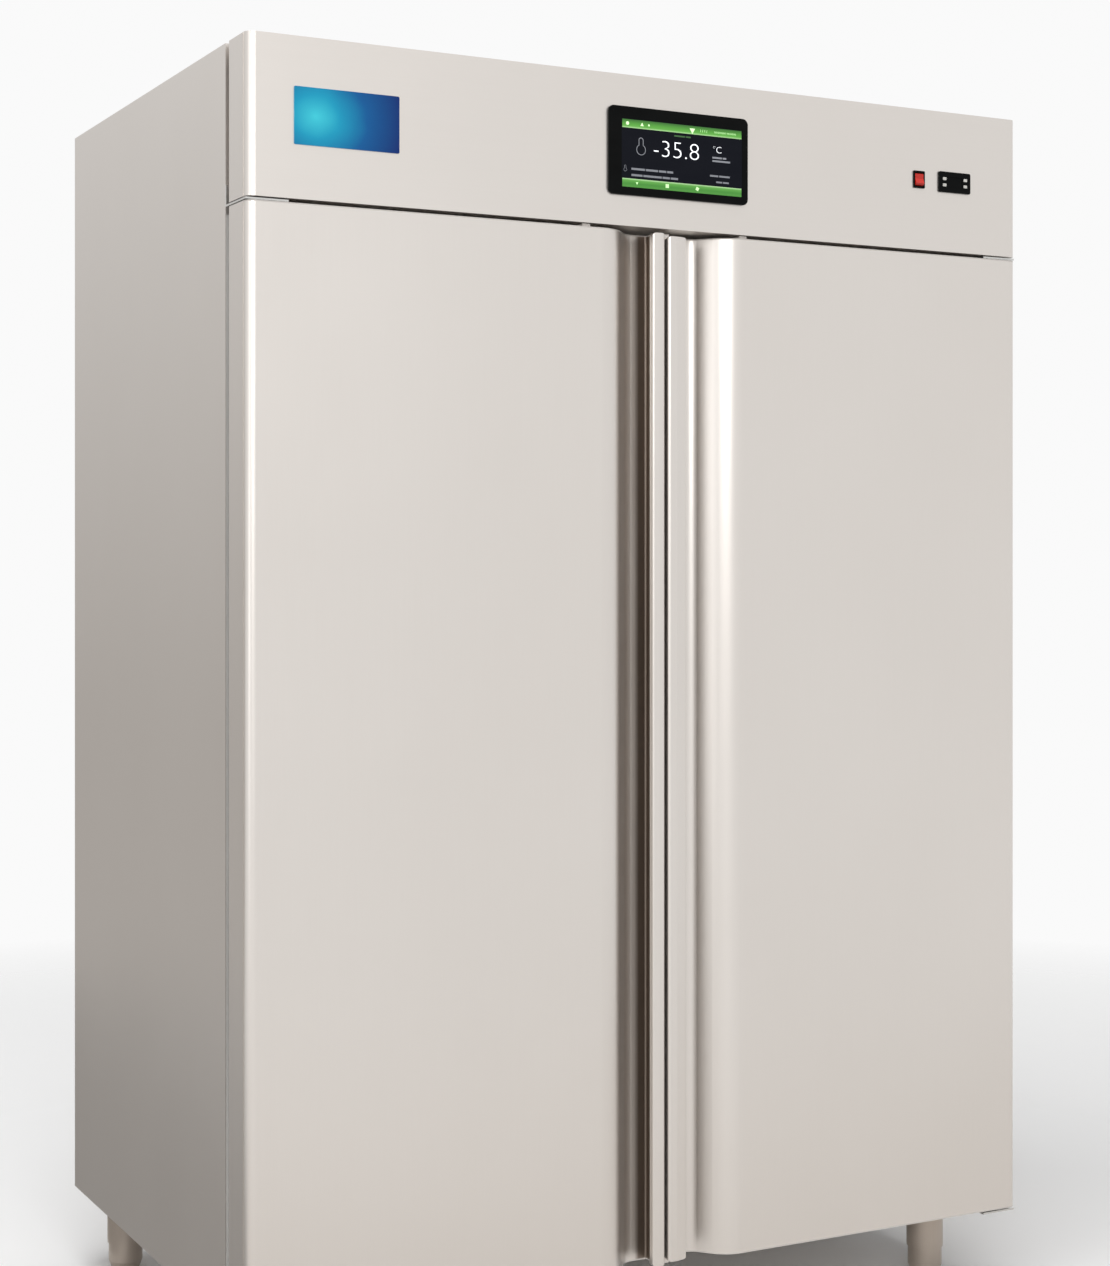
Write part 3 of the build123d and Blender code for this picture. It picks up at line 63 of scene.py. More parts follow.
steel_light = srgb(223, 218, 213)
steel_deep = srgb(214, 208, 202)
# The painted shade of the pulls' grooves, at its lighter and its deeper tone
groove_shade_light = srgb(140, 128, 118)
groove_shade_deep = srgb(112, 101, 92)

# Painted shade in the pulls' grooves, where the lip hides the light. Behind the door's face the painted
# shade starts and is full at these depths, and it reaches this far to each side of the middle, with a
# soft edge
groove_shade_start = 0.015
groove_shade_end = 0.024
groove_shade_width = 0.026
groove_shade_fade = 0.008


# Materials


class Wire:
    """A socket of a material. Arithmetic on wires adds the Math nodes."""

    def __init__(self, finish, socket):
        self.finish = finish
        self.socket = socket

    def maths(self, operation, *values):
        inputs = dict(enumerate(values))
        return self.finish.node("ShaderNodeMath", {"operation": operation}, inputs)

    def __add__(self, other):
        return self.maths("ADD", self, other)

    def __sub__(self, other):
        return self.maths("SUBTRACT", self, other)

    def __rsub__(self, other):
        return self.maths("SUBTRACT", other, self)

    def __mul__(self, other):
        return self.maths("MULTIPLY", self, other)

    def __truediv__(self, other):
        return self.maths("DIVIDE", self, other)

    def root(self):
        return self.maths("SQRT", self)

    def clamp(self):
        return self.maths("MINIMUM", self.maths("MAXIMUM", self, 0.0), 1.0)

    def between(self, low, high):
        """Rises from 0 at one value to 1 at another, which may be the smaller one."""
        return ((self - low) / (high - low)).clamp()


class Nodes:
    """A node tree built by expressions."""

    def __init__(self, owner):
        owner.use_nodes = True
        self.tree = owner.node_tree
        self.tree.nodes.clear()

    def node(self, kind, settings=None, inputs=None, output=0):
        """Adds a node: its settings first, then the values or links of its sockets."""
        made = self.tree.nodes.new(kind)
        for name, value in (settings or {}).items():
            if name == "stops":
                self.set_stops(made.color_ramp, value)
            else:
                setattr(made, name, value)
        for key, value in (inputs or {}).items():
            if isinstance(value, Wire):
                self.tree.links.new(value.socket, made.inputs[key])
            else:
                made.inputs[key].default_value = value
        return Wire(self, made.outputs[output]) if len(made.outputs) else None

    def set_stops(self, ramp, stops):
        while len(ramp.elements) < len(stops):
            ramp.elements.new(0.5)
        for element, (position, colour) in zip(ramp.elements, stops):
            element.position = position
            element.color = colour

    def place(self):
        """Where a point lies on the piece, in metres, moving with the piece."""
        return self.node("ShaderNodeTexCoord", output="Object")

    def stretched(self, scale):
        return self.node("ShaderNodeMapping", {}, {"Vector": self.place(), "Scale": scale})

    def noise(self, scale, size=1.0, detail=2.0, roughness=0.5):
        inputs = {
            "Vector": self.stretched(scale),
            "Scale": size,
            "Detail": detail,
            "Roughness": roughness,
        }
        return self.node("ShaderNodeTexNoise", {}, inputs)

    def mix(self, factor, first, second):
        """Blends two colours. The Mix node's colour sockets are inputs 6 and 7 and output 2."""
        settings = {"data_type": "RGBA"}
        return self.node("ShaderNodeMix", settings, {0: factor, 6: first, 7: second}, output=2)

    def bump(self, height, distance, strength=1.0):
        inputs = {"Height": height, "Distance": distance, "Strength": strength}
        return self.node("ShaderNodeBump", {}, inputs)

    def axis(self, name):
        return self.node("ShaderNodeSeparateXYZ", {}, {0: self.place()}, output=name)


class Finish(Nodes):
    """One material and its nodes."""

    def __init__(self, name):
        self.material = bpy.data.materials.new(name)
        super().__init__(self.material)

    def close(self, inputs):
        """The surface itself, and the material's output."""
        surface = self.node("ShaderNodeBsdfPrincipled", {}, inputs)
        self.node("ShaderNodeOutputMaterial", {}, {"Surface": surface})
        return self.material


def brushed(name, light, deep, grain, metal=0.9, rough=0.33, groove_shade=False):
    """Satin stainless sheet: fine hairlines along one axis and slow drifts of tone. On the door fronts
    it can also paint shade into the pulls' grooves.
    """
    finish = Finish(name)
    lines = finish.noise(grain, 1.0, 3.0, 0.6)
    drift = finish.noise((1.0, 1.0, 0.8), 1.4, 3.0, 0.55)
    tone = (drift * 0.8 + lines * 0.3 - 0.15).clamp()
    smear = finish.noise((2.5, 2.5, 1.5), 2.2, 2.0, 0.5)
    roughness = lines * 0.08 + smear * 0.07 + (rough - 0.07)
    colour = finish.mix(tone, deep, light)
    if groove_shade:
        # Painted shade: darker deep in the pulls' grooves, near the middle of the doors, where the lip
        # hides the light
        shade = finish.mix(tone, groove_shade_deep, groove_shade_light)
        depth = finish.axis("Y").between(door_face_y + groove_shade_start, door_face_y + groove_shade_end)
        beside = finish.axis("X")
        beside = beside.maths("ABSOLUTE", beside).between(groove_shade_width + groove_shade_fade, groove_shade_width)
        colour = finish.mix(depth * beside, colour, shade)
    return finish.close({
        "Base Color": colour,
        "Metallic": metal,
        "Roughness": roughness,
        "Normal": finish.bump(lines, 0.0001, 0.4),
    })


def enamel(name, colour, rough=0.35, speck=0.0004):
    """Sprayed paint with a faint orange peel and dust on top."""
    finish = Finish(name)
    peel = finish.noise((1.0, 1.0, 1.0), 420.0, 2.0)
    dust = finish.noise((1.0, 1.0, 1.0), 9.0, 4.0, 0.6)
    paler = tuple(min(1.0, channel * 1.25 + 0.02) for channel in colour[:3]) + (1.0,)
    return finish.close({
        "Base Color": finish.mix((dust * 1.6 - 0.5).clamp(), colour, paler),
        "Roughness": dust * 0.2 + rough,
        "Normal": finish.bump(peel, speck, 0.3),
    })


def moulded(name, colour, rough=0.45, grain=900.0, depth=0.00015):
    """Moulded plastic or rubber with a fine spark texture."""
    finish = Finish(name)
    spark = finish.noise((1.0, 1.0, 1.0), grain, 2.0, 0.6)
    cloud = finish.noise((1.0, 1.0, 1.0), 6.0, 3.0)
    darker = tuple(channel * 0.85 for channel in colour[:3]) + (1.0,)
    return finish.close({
        "Base Color": finish.mix(cloud, darker, colour),
        "Roughness": spark * 0.12 + cloud * 0.08 + (rough - 0.08),
        "Normal": finish.bump(spark, depth, 0.4),
    })


def bare_metal(name, colour, rough=0.3, streak=(1.0, 1.0, 1.0), size=60.0):
    """Unpainted metal: drawn, cast or plated, with slight stains."""
    finish = Finish(name)
    marks = finish.noise(streak, size, 4.0, 0.6)
    stain = finish.noise((1.0, 1.0, 1.0), 14.0, 4.0, 0.6)
    darker = tuple(channel * 0.72 for channel in colour[:3]) + (1.0,)
    return finish.close({
        "Base Color": finish.mix((stain * 0.7 + marks * 0.5 - 0.1).clamp(), darker, colour),
        "Metallic": 0.9,
        "Roughness": marks * 0.16 + (rough - 0.05),
        "Normal": finish.bump(marks, 0.0002, 0.25),
    })


def galvanised(name):
    """Zinc-coated sheet with its spangle of crystals."""
    finish = Finish(name)
    spangle = {"Vector": finish.place(), "Scale": 75.0}
    cells = finish.node("ShaderNodeTexVoronoi", {}, spangle, output="Color")
    shade = finish.node("ShaderNodeSeparateColor", {}, {0: cells})
    cloud = finish.noise((1.0, 1.0, 1.0), 11.0, 3.0)
    tone = (shade * 0.7 + cloud * 0.3).clamp()
    return finish.close({
        "Base Color": finish.mix(tone, srgb(150, 153, 156), srgb(196, 199, 201)),
        "Metallic": 0.75,
        "Roughness": shade * 0.16 + 0.32,
        "Normal": finish.bump(shade, 0.0001, 0.3),
    })


def foam_finish(name):
    finish = Finish(name)
    cells = finish.node("ShaderNodeTexVoronoi", {}, {"Vector": finish.place(), "Scale": 380.0})
    cloud = finish.noise((1.0, 1.0, 1.0), 9.0, 4.0)
    return finish.close({
        "Base Color": finish.mix(cloud, srgb(214, 190, 130), srgb(235, 216, 162)),
        "Roughness": 0.9,
        "Normal": finish.bump(cells, 0.0008, 0.5),
    })


def glass_black(name, colour, rough=0.12):
    """Glossy black moulding with faint wiping marks."""
    finish = Finish(name)
    wiped = finish.noise((3.0, 1.0, 9.0), 5.0, 3.0, 0.6)
    lighter = tuple(channel + 0.004 for channel in colour[:3]) + (1.0,)
    return finish.close({
        "Base Color": finish.mix(wiped, colour, lighter),
        "Roughness": wiped * 0.10 + rough,
        "Specular IOR Level": 0.05,
    })


def glowing(name, low_colour, high_colour, low_z, high_z, strength):
    """A lit area of a display, shaded from its lower to its upper edge."""
    finish = Finish(name)
    rise = finish.axis("Z").between(low_z, high_z)
    grain = finish.noise((1.0, 1.0, 1.0), 1500.0, 1.0)
    colour = finish.mix((rise * 0.9 + grain * 0.1).clamp(), low_colour, high_colour)
    return finish.close({
        "Base Color": colour,
        "Roughness": 0.3,
        "Emission Color": colour,
        "Emission Strength": strength,
    })


def plate_finish(name):
    """A bare enamelled plate: deep blue, shading to teal around a spot at its left, with a faint painted
    glow in the same colours.
    """
    finish = Finish(name)
    glow_across, glow_up = 0.20, 0.50
    across_weight, up_weight = 1.5, 0.55
    share_across = (finish.axis("X") - plate_low.x) / (plate_high.x - plate_low.x)
    share_up = (finish.axis("Z") - plate_low.z) / (plate_high.z - plate_low.z)
    haze = finish.noise((1.0, 1.0, 1.0), 18.0, 2.0)
    glow_x = share_across - glow_across
    glow_z = share_up - glow_up
    distance = (glow_x * glow_x * across_weight + glow_z * glow_z * up_weight).root()
    ramp = finish.node("ShaderNodeValToRGB", {"stops": [
        (0.0, srgb(60, 182, 196)),
        (0.28, srgb(26, 138, 170)),
        (0.60, srgb(14, 80, 134)),
        (1.0, srgb(10, 40, 98)),
    ]}, {0: (distance + haze * 0.12 - 0.06).clamp()})
    return finish.close({
        "Base Color": ramp,
        "Roughness": haze * 0.08 + 0.3,
        "Specular IOR Level": 0.2,
        # Painted glow: the plate gives off its own colours faintly, though it is no lamp
        "Emission Color": ramp,
        "Emission Strength": 0.25,
    })


vertical = (900.0, 900.0, 7.0)
level = (6.0, 900.0, 900.0)

finishes = {
    "brushed_side": brushed("side_steel", steel_light, steel_deep, vertical),
    "brushed_front": brushed("front_steel", steel_light, steel_deep, vertical, groove_shade=True),
    "liner_steel": brushed("liner_steel", srgb(214, 214, 212), srgb(192, 193, 193), vertical, 0.6, 0.34),
    "leg_steel": brushed("leg_steel", srgb(196, 184, 172), srgb(170, 158, 147), vertical, 0.6, 0.36),
    "foam": foam_finish("insulating_foam"),
    "frame_plastic": moulded("frame_plastic", srgb(214, 212, 207)),
    "galvanised": galvanised("zinc_sheet"),
    "compressor_black": enamel("compressor_enamel", srgb(26, 26, 28)),
    "mount_rubber": moulded("mount_rubber", srgb(28, 28, 28), 0.75),
    "fin_aluminium": bare_metal("fin_aluminium", srgb(206, 208, 210), 0.34, (1.0, 30.0, 1.0)),
    "fan_plastic": moulded("fan_plastic", srgb(30, 30, 32), 0.5),
    "motor_grey": enamel("motor_enamel", srgb(70, 72, 76)),
    "receiver_paint": enamel("receiver_enamel", srgb(32, 32, 34)),
    "drier_paint": enamel("drier_enamel", srgb(42, 84, 140)),
    "copper": bare_metal("copper_tube", srgb(212, 134, 98), 0.26),
    "box_plastic": moulded("box_plastic", srgb(160, 162, 164)),
    "gland_plastic": moulded("gland_plastic", srgb(26, 26, 26)),
    "wire_coat": moulded("wire_coating", srgb(226, 226, 222), 0.32),
    "gasket_rubber": moulded("gasket_rubber", srgb(96, 90, 84), 0.6),
    "cap_plastic": moulded("cap_plastic", srgb(206, 200, 194), 0.4),
    "plate_blue": plate_finish("plate_enamel"),
    "bezel_black": glass_black("black_bezel", srgb(5, 6, 6)),
    "display": glass_black("display_glass", srgb(16, 18, 26), 0.08),
    "rocker_red": moulded("rocker_red", srgb(196, 34, 20), 0.25),
    "key_white": moulded("pale_key", srgb(206, 204, 198), 0.4),
    "hinge_steel": bare_metal("hinge_steel", srgb(222, 221, 218), 0.22),
}
level_fascia = brushed("fascia_steel", steel_light, steel_deep, level)

slot_of = {part["node"]: part["material_slot"] for part in frame["record"]["subparts"]}


def dress(piece, material, smooth=math.radians(32)):
    """Puts one material on a whole piece and smooths its round faces."""
    piece.data.materials.clear()
    piece.data.materials.append(material)
    piece.data.shade_smooth()
    piece.data.set_sharp_from_angle(angle=smooth)


for name, node in nodes.items():
    dress(node, finishes[slot_of[name]])
dress(nodes["fascia_panel"], level_fascia)


# The display's picture, drawn in thin lit pieces just in front of its glass


def flat_piece(name, outline, y, thickness, material):
    """A thin plate from an outline of X and Z, standing on the depth y and reaching to the front."""
    mesh = bmesh.new()
    corners = [mesh.verts.new((x, y, z)) for x, z in outline]
    face = mesh.faces.new(corners)
    grown = bmesh.ops.extrude_face_region(mesh, geom=[face])["geom"]
    moved = [part for part in grown if isinstance(part, bmesh.types.BMVert)]
    bmesh.ops.translate(mesh, verts=moved, vec=(0, -thickness, 0))
    bmesh.ops.recalc_face_normals(mesh, faces=mesh.faces)
    return finish_piece(name, mesh, material)


def finish_piece(name, mesh, material):
    data = bpy.data.meshes.new(name)
    mesh.to_mesh(data)
    mesh.free()
    piece = bpy.data.objects.new(name, data)
    bpy.context.scene.collection.objects.link(piece)
    data.materials.append(material)
    return piece


def rounded(centre_x, centre_z, width, height, radius, steps=5):
    """A rectangle's outline with round corners."""
    points = []
    for quarter, (sx, sz) in enumerate(((1, 1), (-1, 1), (-1, -1), (1, -1))):
        for step in range(steps + 1):
            angle = math.radians(90 * quarter + 90 * step / steps)
            points.append((
                centre_x + sx * (width / 2 - radius) + radius * math.cos(angle),
                centre_z + sz * (height / 2 - radius) + radius * math.sin(angle),
            ))
    return points


picture_y = screen_low.y
layer = 0.00012
screen_width = screen_high.x - screen_low.x
screen_height = screen_high.z - screen_low.z


def lit(name, dull, bright, strength):
    return glowing(name, srgb(*dull), srgb(*bright), screen_low.z, screen_high.z, strength)


white_glow = lit("display_white", (222, 226, 230), (238, 240, 242), 0.85)
grey_glow = lit("display_grey", (104, 106, 112), (128, 130, 136), 0.5)
dim_green = lit("display_dim_green", (38, 74, 36), (48, 86, 42), 0.4)
pale_green = lit("display_pale_green", (176, 214, 156), (196, 226, 176), 0.8)


def across(share):
    """The X of a point on the display, from its left edge at 0 to its right edge at 1."""
    return screen_low.x + screen_width * share


def down(share):
    """The Z of a point on the display, from its top edge at 0 to its bottom edge at 1."""
    return screen_high.z - screen_height * share


def on_screen(piece):
    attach(piece, "fascia")
    return piece


def patch(name, left, right, top, bottom, material, radius=0.0003):
    """A lit rectangle between shares of the display's width and height."""
    width = across(right) - across(left)
    height = down(top) - down(bottom)
    corner = min(radius, width / 3, height / 3)
    outline = rounded(across((left + right) / 2), down((top + bottom) / 2), width, height, corner)
    return on_screen(flat_piece(name, outline, picture_y, layer, material))


def bar_shade(name, stops, top, bottom):
    """A green band of the display, its colours running from its top to its bottom."""
    finish = Finish(name)
    fall = finish.axis("Z").between(down(top), down(bottom))
    ramp = finish.node("ShaderNodeValToRGB", {"stops": stops}, {0: fall})
    return finish.close({
        "Base Color": ramp,
        "Roughness": 0.3,
        "Emission Color": ramp,
        "Emission Strength": 0.32,
    })


top_stops = [
    (0.0, srgb(40, 92, 30)),
    (0.45, srgb(70, 138, 46)),
    (0.8, srgb(86, 156, 60)),
    (1.0, srgb(160, 200, 140)),
]
bottom_stops = [
    (0.0, srgb(170, 206, 152)),
    (0.2, srgb(84, 150, 62)),
    (0.6, srgb(56, 124, 40)),
    (1.0, srgb(70, 136, 52)),
]

# The green bands, as shares of the display: the gap at their ends, and their outer and inner edges
band_gap = 0.006
band_outer = 0.004
band_inner = 0.128


def band(name, shade_name, stops, top, bottom):
    patch(name, band_gap, 1 - band_gap, top, bottom, bar_shade(shade_name, stops, top, bottom))


band("display_top_band", "display_top_green", top_stops, band_outer, band_inner)
band("display_bottom_band", "display_bottom_green", bottom_stops, 1 - band_inner, 1 - band_outer)

# The height of a figure as a share of the size of Blender's own font
figure_share = 0.72


def screen_text(name, words, height, left, base, stretch, thin, material):
    """Figures on the display: their height in metres, left end and base line as shares."""
    curve = bpy.data.curves.new(name + "_outline", "FONT")
    curve.body = words
    curve.size = height / figure_share
    curve.offset = -thin
    curve.extrude = layer / 2
    curve.resolution_u = 5
    letters = bpy.data.objects.new(name + "_outline", curve)
    bpy.context.scene.collection.objects.link(letters)
    letters.rotation_euler = (math.radians(90), 0, 0)
    letters.scale = (stretch, 1, 1)
    letters.location = (across(left), picture_y - layer, down(base))
    bpy.context.view_layer.update()
    solved = letters.evaluated_get(bpy.context.evaluated_depsgraph_get())
    data = bpy.data.meshes.new_from_object(solved)
    data.transform(letters.matrix_world)
    bpy.data.objects.remove(letters)
    piece = bpy.data.objects.new(name, data)
    bpy.context.scene.collection.objects.link(piece)
    data.materials.clear()
    data.materials.append(material)
    return on_screen(piece)


screen_text(
    "display_reading", "-35.8",
    height=0.0285, left=0.250, base=0.512, stretch=1.12, thin=0.0009, material=white_glow,
)
screen_text(
    "display_unit", "°C",
    height=0.0112, left=0.748, base=0.372, stretch=1.08, thin=0.0003, material=white_glow,
)


def ring_piece(name, points, width, material):
    """A thin closed line on the display along points given as shares."""
    mesh = bmesh.new()
    places = [Vector((across(u), 0, down(v))) for u, v in points]
    count = len(places)
    rims = []
    for index, place in enumerate(places):
        run = (places[(index + 1) % count] - places[index - 1]).normalized()
        side = Vector((-run.z, 0, run.x)) * width / 2
        pair = [place + side, place - side]
        rims.append([mesh.verts.new((point.x, picture_y - layer, point.z)) for point in pair])
    for (outer, inner), (next_outer, next_inner) in zip(rims, rims[1:] + rims[:1]):
        mesh.faces.new([outer, next_outer, next_inner, inner])
    bmesh.ops.recalc_face_normals(mesh, faces=mesh.faces)
    return on_screen(finish_piece(name, mesh, material))


def thermometer(name, centre, top, bottom, tube, bulb, material, width):
    """A thermometer drawn as one line: a tube with a round top over a bulb."""
    arch_steps = 8
    bulb_steps = 16
    ratio = screen_width / screen_height
    points = []
    for step in range(arch_steps + 1):
        angle = math.pi * step / arch_steps
        points.append((centre + tube * math.cos(angle), top + tube * ratio * (1 - math.sin(angle))))
    bulb_v = bottom - bulb * ratio
    start = math.asin(tube / bulb)
    for step in range(bulb_steps + 1):
        angle = start + (2 * math.pi - 2 * start) * step / bulb_steps
        points.append((centre - bulb * math.sin(angle), bulb_v - bulb * ratio * math.cos(angle)))
    return ring_piece(name, points, width, material)


thermometer(
    "display_thermometer",
    centre=0.158, top=0.262, bottom=0.512, tube=0.017, bulb=0.036, material=grey_glow, width=0.0012,
)
thermometer(
    "display_small_thermometer",
    centre=0.030, top=0.68, bottom=0.77, tube=0.006, bulb=0.012, material=grey_glow, width=0.0006,
)


def dashes(name, left, top, bottom, lengths, material, gap=0.007):
    """A line of small print, drawn as a row of dashes without letters."""
    start = left
    for number, length in enumerate(lengths):
        patch(name + "_%d" % number, start, start + length, top, bottom, material)
        start += length + gap


# Each line's left end, top and bottom, and the lengths of its dashes, as shares of the display
dashes("display_line_1", 0.080, 0.712, 0.742, (0.11, 0.10, 0.06, 0.05), grey_glow)
dashes("display_line_2", 0.080, 0.802, 0.832, (0.09, 0.15, 0.06, 0.06), grey_glow)
dashes("display_note_1", 0.748, 0.432, 0.458, (0.08, 0.03), grey_glow)
dashes("display_note_2", 0.748, 0.482, 0.508, (0.15,), grey_glow)
dashes("display_right_1", 0.728, 0.706, 0.732, (0.07, 0.09), grey_glow)
dashes("display_right_2", 0.780, 0.796, 0.820, (0.05, 0.05), grey_glow)
dashes("display_caption", 0.430, 0.168, 0.190, (0.09, 0.04), dim_green)
dashes("display_clock", 0.762, 0.052, 0.080, (0.10, 0.08), pale_green)
dashes("display_signal", 0.646, 0.046, 0.086, (0.008, 0.008, 0.008, 0.008), pale_green, 0.009)


def mark(name, centre_u, centre_v, radius, sides, turn=0.0):
    """A small pale sign on a green band, as a regular outline."""
    ratio = screen_width / screen_height
    outline = []
    for step in range(sides):
        angle = math.radians(turn) + 2 * math.pi * step / sides
        u = centre_u + radius * math.cos(angle)
        v = centre_v - radius * ratio * math.sin(angle)
        outline.append((across(u), down(v)))
    return on_screen(flat_piece(name, outline, picture_y - layer, layer, pale_green))


# Each sign's centre, across and down, its radius, how many sides it has and how far it is turned
mark("display_round_mark", 0.048, 0.064, 0.013, 14)
mark("display_triangle_mark", 0.166, 0.070, 0.016, 3, 90)
mark("display_small_mark", 0.222, 0.066, 0.009, 4, 45)
mark("display_fan_mark", 0.580, 0.070, 0.026, 3, 270)
mark("display_lower_left_mark", 0.125, 0.932, 0.012, 3, 270)
mark("display_lower_mark", 0.372, 0.934, 0.019, 4, 45)
mark("display_lower_right_mark", 0.622, 0.936, 0.017, 4, 20)


# Screws

screw_steel = bare_metal("screw_steel", srgb(190, 190, 188), 0.28)
on_cabinet = ("cabinet", "hinge_steel")

# The heads' radius and height
grille_head = (0.0045, 0.0026)
cover_head = (0.0045, 0.0024)
small_head = (0.0040, 0.0024)

# How far the outer screws sit in from the edges of their sheet
grille_inset = 0.010
grille_top_inset = 0.0095
cover_end_inset = 0.018
cover_edge_inset = 0.012
box_inset = 0.014


def fastener(name, body, slot, place, outward, radius, height, sides=20, socket=0.45):
    """A low round head with a recess, lying on a face whose outward direction is given."""
    rim_height = height * 0.45
    crown_radius = radius * 0.82
    socket_radius = radius * socket
    profile = [
        (radius, 0.0),
        (radius, rim_height),
        (crown_radius, height),
        (socket_radius, height),
        (socket_radius * 0.9, rim_height),
    ]
    mesh = bmesh.new()
    rings = []
    for reach, up in profile:
        angles = [2 * math.pi * step / sides for step in range(sides)]
        rings.append([mesh.verts.new((reach * math.cos(a), reach * math.sin(a), up)) for a in angles])
    for lower, upper in zip(rings, rings[1:]):
        for step in range(sides):
            following = (step + 1) % sides
            mesh.faces.new([lower[step], lower[following], upper[following], upper[step]])
    mesh.faces.new(rings[-1])
    mesh.faces.new(rings[0][::-1])
    turn = Vector((0, 0, 1)).rotation_difference(Vector(outward)).to_matrix()
    bmesh.ops.rotate(mesh, verts=mesh.verts, matrix=turn)
    bmesh.ops.translate(mesh, verts=mesh.verts, vec=place)
    bmesh.ops.recalc_face_normals(mesh, faces=mesh.faces)
    head = finish_piece(name, mesh, screw_steel)
    head.data.shade_smooth()
    head.data.set_sharp_from_angle(angle=math.radians(40))
    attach(head, body)


def spread(low, high, inset, count):
    """Places at equal steps, the outer ones an inset away from the ends."""
    span = high - low - 2 * inset
    return [low + inset + span * number / (count - 1) for number in range(count)]


grille_low, grille_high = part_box("machine_back_grille")
for row, z in enumerate(spread(grille_low.z, grille_high.z, grille_inset, 3)):
    for column, x in enumerate(spread(grille_low.x, grille_high.x, grille_inset, 2)):
        place = (x, grille_high.y, z)
        fastener("grille_screw_%d_%d" % (row, column), *on_cabinet, place, (0, 1, 0), *grille_head)
for column, x in enumerate(spread(grille_low.x, grille_high.x, grille_inset, 5)):
    place = (x, grille_high.y, grille_high.z - grille_top_inset)
    fastener("grille_top_screw_%d" % column, *on_cabinet, place, (0, 1, 0), *small_head)
cover_low, cover_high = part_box("evaporator_cover")
for row, z in enumerate(spread(cover_low.z, cover_high.z, cover_edge_inset, 2)):
    for column, x in enumerate(spread(cover_low.x, cover_high.x, cover_end_inset, 4)):
        place = (x, cover_low.y, z)
        fastener("cover_screw_%d_%d" % (row, column), *on_cabinet, place, (0, -1, 0), *cover_head)
box_low, box_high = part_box("electrical_box")
for row, y in enumerate(spread(box_low.y, box_high.y, box_inset, 2)):
    for column, x in enumerate(spread(box_low.x, box_high.x, box_inset, 2)):
        place = (x, y, box_high.z)
        fastener("box_screw_%d_%d" % (row, column), *on_cabinet, place, (0, 0, 1), *small_head)


# Floor, light and camera

# How bright the white room is to the camera and in reflections, and as a light
room_white = 0.955
room_light = 0.36

floor_radius = 4.5
floor_paint = (0.93, 0.93, 0.93, 1.0)
fade_start = 1.7
fade_end = 4.0
card_tint = (1.0, 0.96, 0.92)


def studio_world():
    """A white room for the camera and in reflections, which gives a softer light."""
    world = bpy.data.worlds.new("studio")
    bpy.context.scene.world = world
    sky = Nodes(world)
    seen = sky.node("ShaderNodeLightPath", output="Is Camera Ray")
    mirrored = sky.node("ShaderNodeLightPath", output="Is Glossy Ray")
    clear = sky.node("ShaderNodeLightPath", output="Is Transmission Ray")
    white = (seen + mirrored + clear).clamp()
    strength = white * room_white + (1 - white) * room_light
    colour = (1.0, 1.0, 1.0, 1.0)
    room = sky.node("ShaderNodeBackground", {}, {"Color": colour, "Strength": strength})
    sky.node("ShaderNodeOutputWorld", {}, {"Surface": room})


studio_world()


def floor_finish():
    """Pale matt floor that fades out into the white room around the freezer."""
    finish = Finish("studio_floor")
    x = finish.axis("X")
    y = finish.axis("Y")
    fade = (x * x + y * y).root().between(fade_start, fade_end)
    paint = finish.node("ShaderNodeBsdfDiffuse", {}, {"Color": floor_paint})
    clear = finish.node("ShaderNodeBsdfTransparent")
    surface = finish.node("ShaderNodeMixShader", {}, {0: fade, 1: paint, 2: clear})
    finish.node("ShaderNodeOutputMaterial", {}, {"Surface": surface})
    return finish.material


def disc(name, radius, z, material, segments=96):
    mesh = bmesh.new()
    bmesh.ops.create_circle(mesh, cap_ends=True, segments=segments, radius=radius)
    bmesh.ops.translate(mesh, verts=mesh.verts, vec=(0, 0, z))
    return finish_piece(name, mesh, material)


disc("studio_floor", floor_radius, 0.0, floor_finish())


def soft_light(name, place, target, width, height, power):
    data = bpy.data.lights.new(name, "AREA")
    data.shape = "RECTANGLE"
    data.size = width
    data.size_y = height
    data.energy = power
    lamp = bpy.data.objects.new(name, data)
    bpy.context.scene.collection.objects.link(lamp)
    lamp.location = place
    lamp.rotation_euler = (Vector(target) - Vector(place)).to_track_quat("-Z", "Y").to_euler()
    return lamp


soft_light(
    "front_softbox", place=(-2.2, -6.4, 3.6), target=(0.0, 0.0, 1.0), width=4.0, height=3.0, power=130,
)
soft_light(
    "left_softbox", place=(-4.2, -2.6, 2.2), target=(0.0, -0.4, 1.2), width=1.6, height=3.4, power=18,
)
top_light = soft_light(
    "top_softbox", place=(-0.7, -0.6, 4.8), target=(-0.2, 0.0, 0.0), width=4.0, height=3.0, power=205,
)
top_light.visible_glossy = False


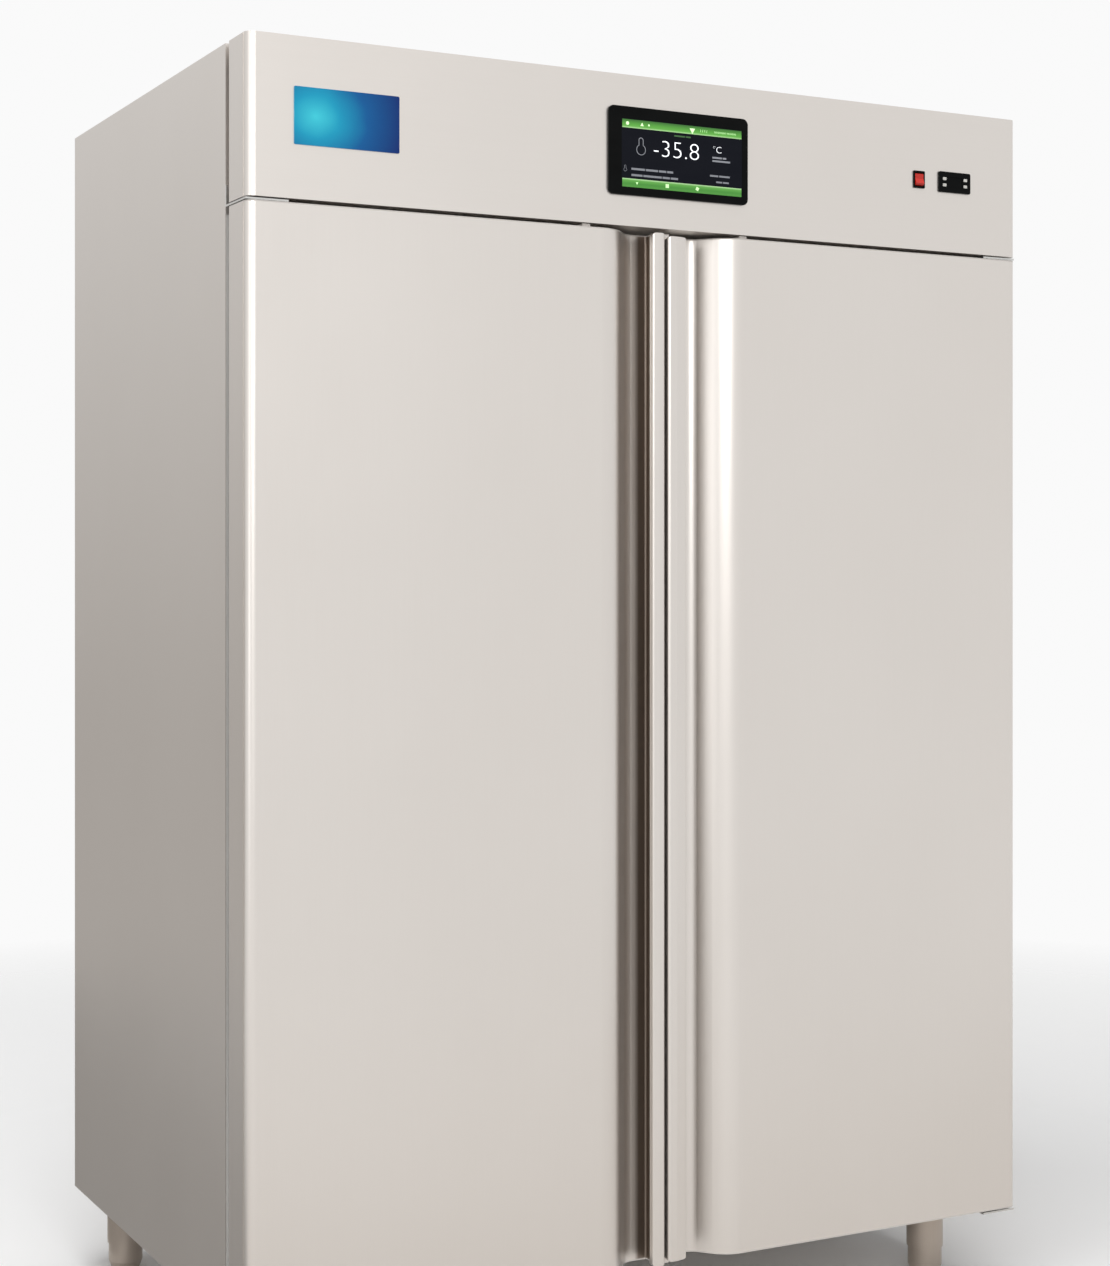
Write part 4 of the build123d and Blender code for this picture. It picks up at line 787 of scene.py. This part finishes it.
def grey_card(name, corners, grey, full, gone, axis):
    """A card that only reflections show, to shade the bare metal. Along one axis it fades out."""
    finish = Finish(name)
    share = finish.axis(axis).between(gone, full)
    colour = tuple(grey * channel for channel in card_tint) + (1.0,)
    paper = finish.node("ShaderNodeEmission", {}, {"Color": colour})
    clear = finish.node("ShaderNodeBsdfTransparent")
    surface = finish.node("ShaderNodeMixShader", {}, {0: share, 1: clear, 2: paper})
    finish.node("ShaderNodeOutputMaterial", {}, {"Surface": surface})
    mesh = bmesh.new()
    mesh.faces.new([mesh.verts.new(corner) for corner in corners])
    card = finish_piece(name, mesh, finish.material)
    card.visible_camera = False
    card.visible_diffuse = False
    card.visible_shadow = False
    card.visible_transmission = False


def on_floor(x, y, height):
    """The corners of a level card between two X and two Y."""
    return [(x[0], y[0], height), (x[1], y[0], height), (x[1], y[1], height), (x[0], y[1], height)]


def upright(left, right, foot, top):
    """The corners of a standing card between two places of the floor."""
    return [(*left, foot), (*right, foot), (*right, top), (*left, top)]


grey_card(
    "card_behind_left", upright((-4.5, 1.6), (-0.95, 3.2), 0.01, 3.6),
    grey=0.48, full=0.9, gone=3.6, axis="Z",
)
grey_card(
    "floor_card_left", on_floor((-3.6, -0.74), (-0.5, 3.4), 0.006),
    grey=0.30, full=-1.2, gone=-3.6, axis="X",
)
grey_card(
    "floor_card_front", on_floor((-2.6, 2.6), (-3.4, -0.5), 0.004),
    grey=0.78, full=-0.9, gone=-3.4, axis="Y",
)

# The photograph's camera, from the fit of the freezer's edges. Its pixels count along the
# picture's longer side, and its place is given from the doors' lower left front corner
photo_height = 1266
focal_pixels = 2207
horizon_above_middle = 67.6
camera_yaw = 27.59
camera_from_corner = Vector((-1.107, -3.102, 1.141))
corner_above_casing = 0.010

camera_data = bpy.data.cameras.new("photo_camera")
camera = bpy.data.objects.new("photo_camera", camera_data)
bpy.context.scene.collection.objects.link(camera)
bpy.context.scene.camera = camera
corner_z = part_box("outer_casing")[0].z + corner_above_casing
front_corner = Vector((side_x, door_face_y, corner_z))
camera.location = front_corner + camera_from_corner
camera.rotation_euler = (math.radians(90), 0, math.radians(-camera_yaw))
camera_data.sensor_width = 36
camera_data.lens = focal_pixels / photo_height * camera_data.sensor_width
camera_data.shift_y = -horizon_above_middle / photo_height
camera_data.clip_end = 60

bpy.context.scene.view_settings.view_transform = "Standard"
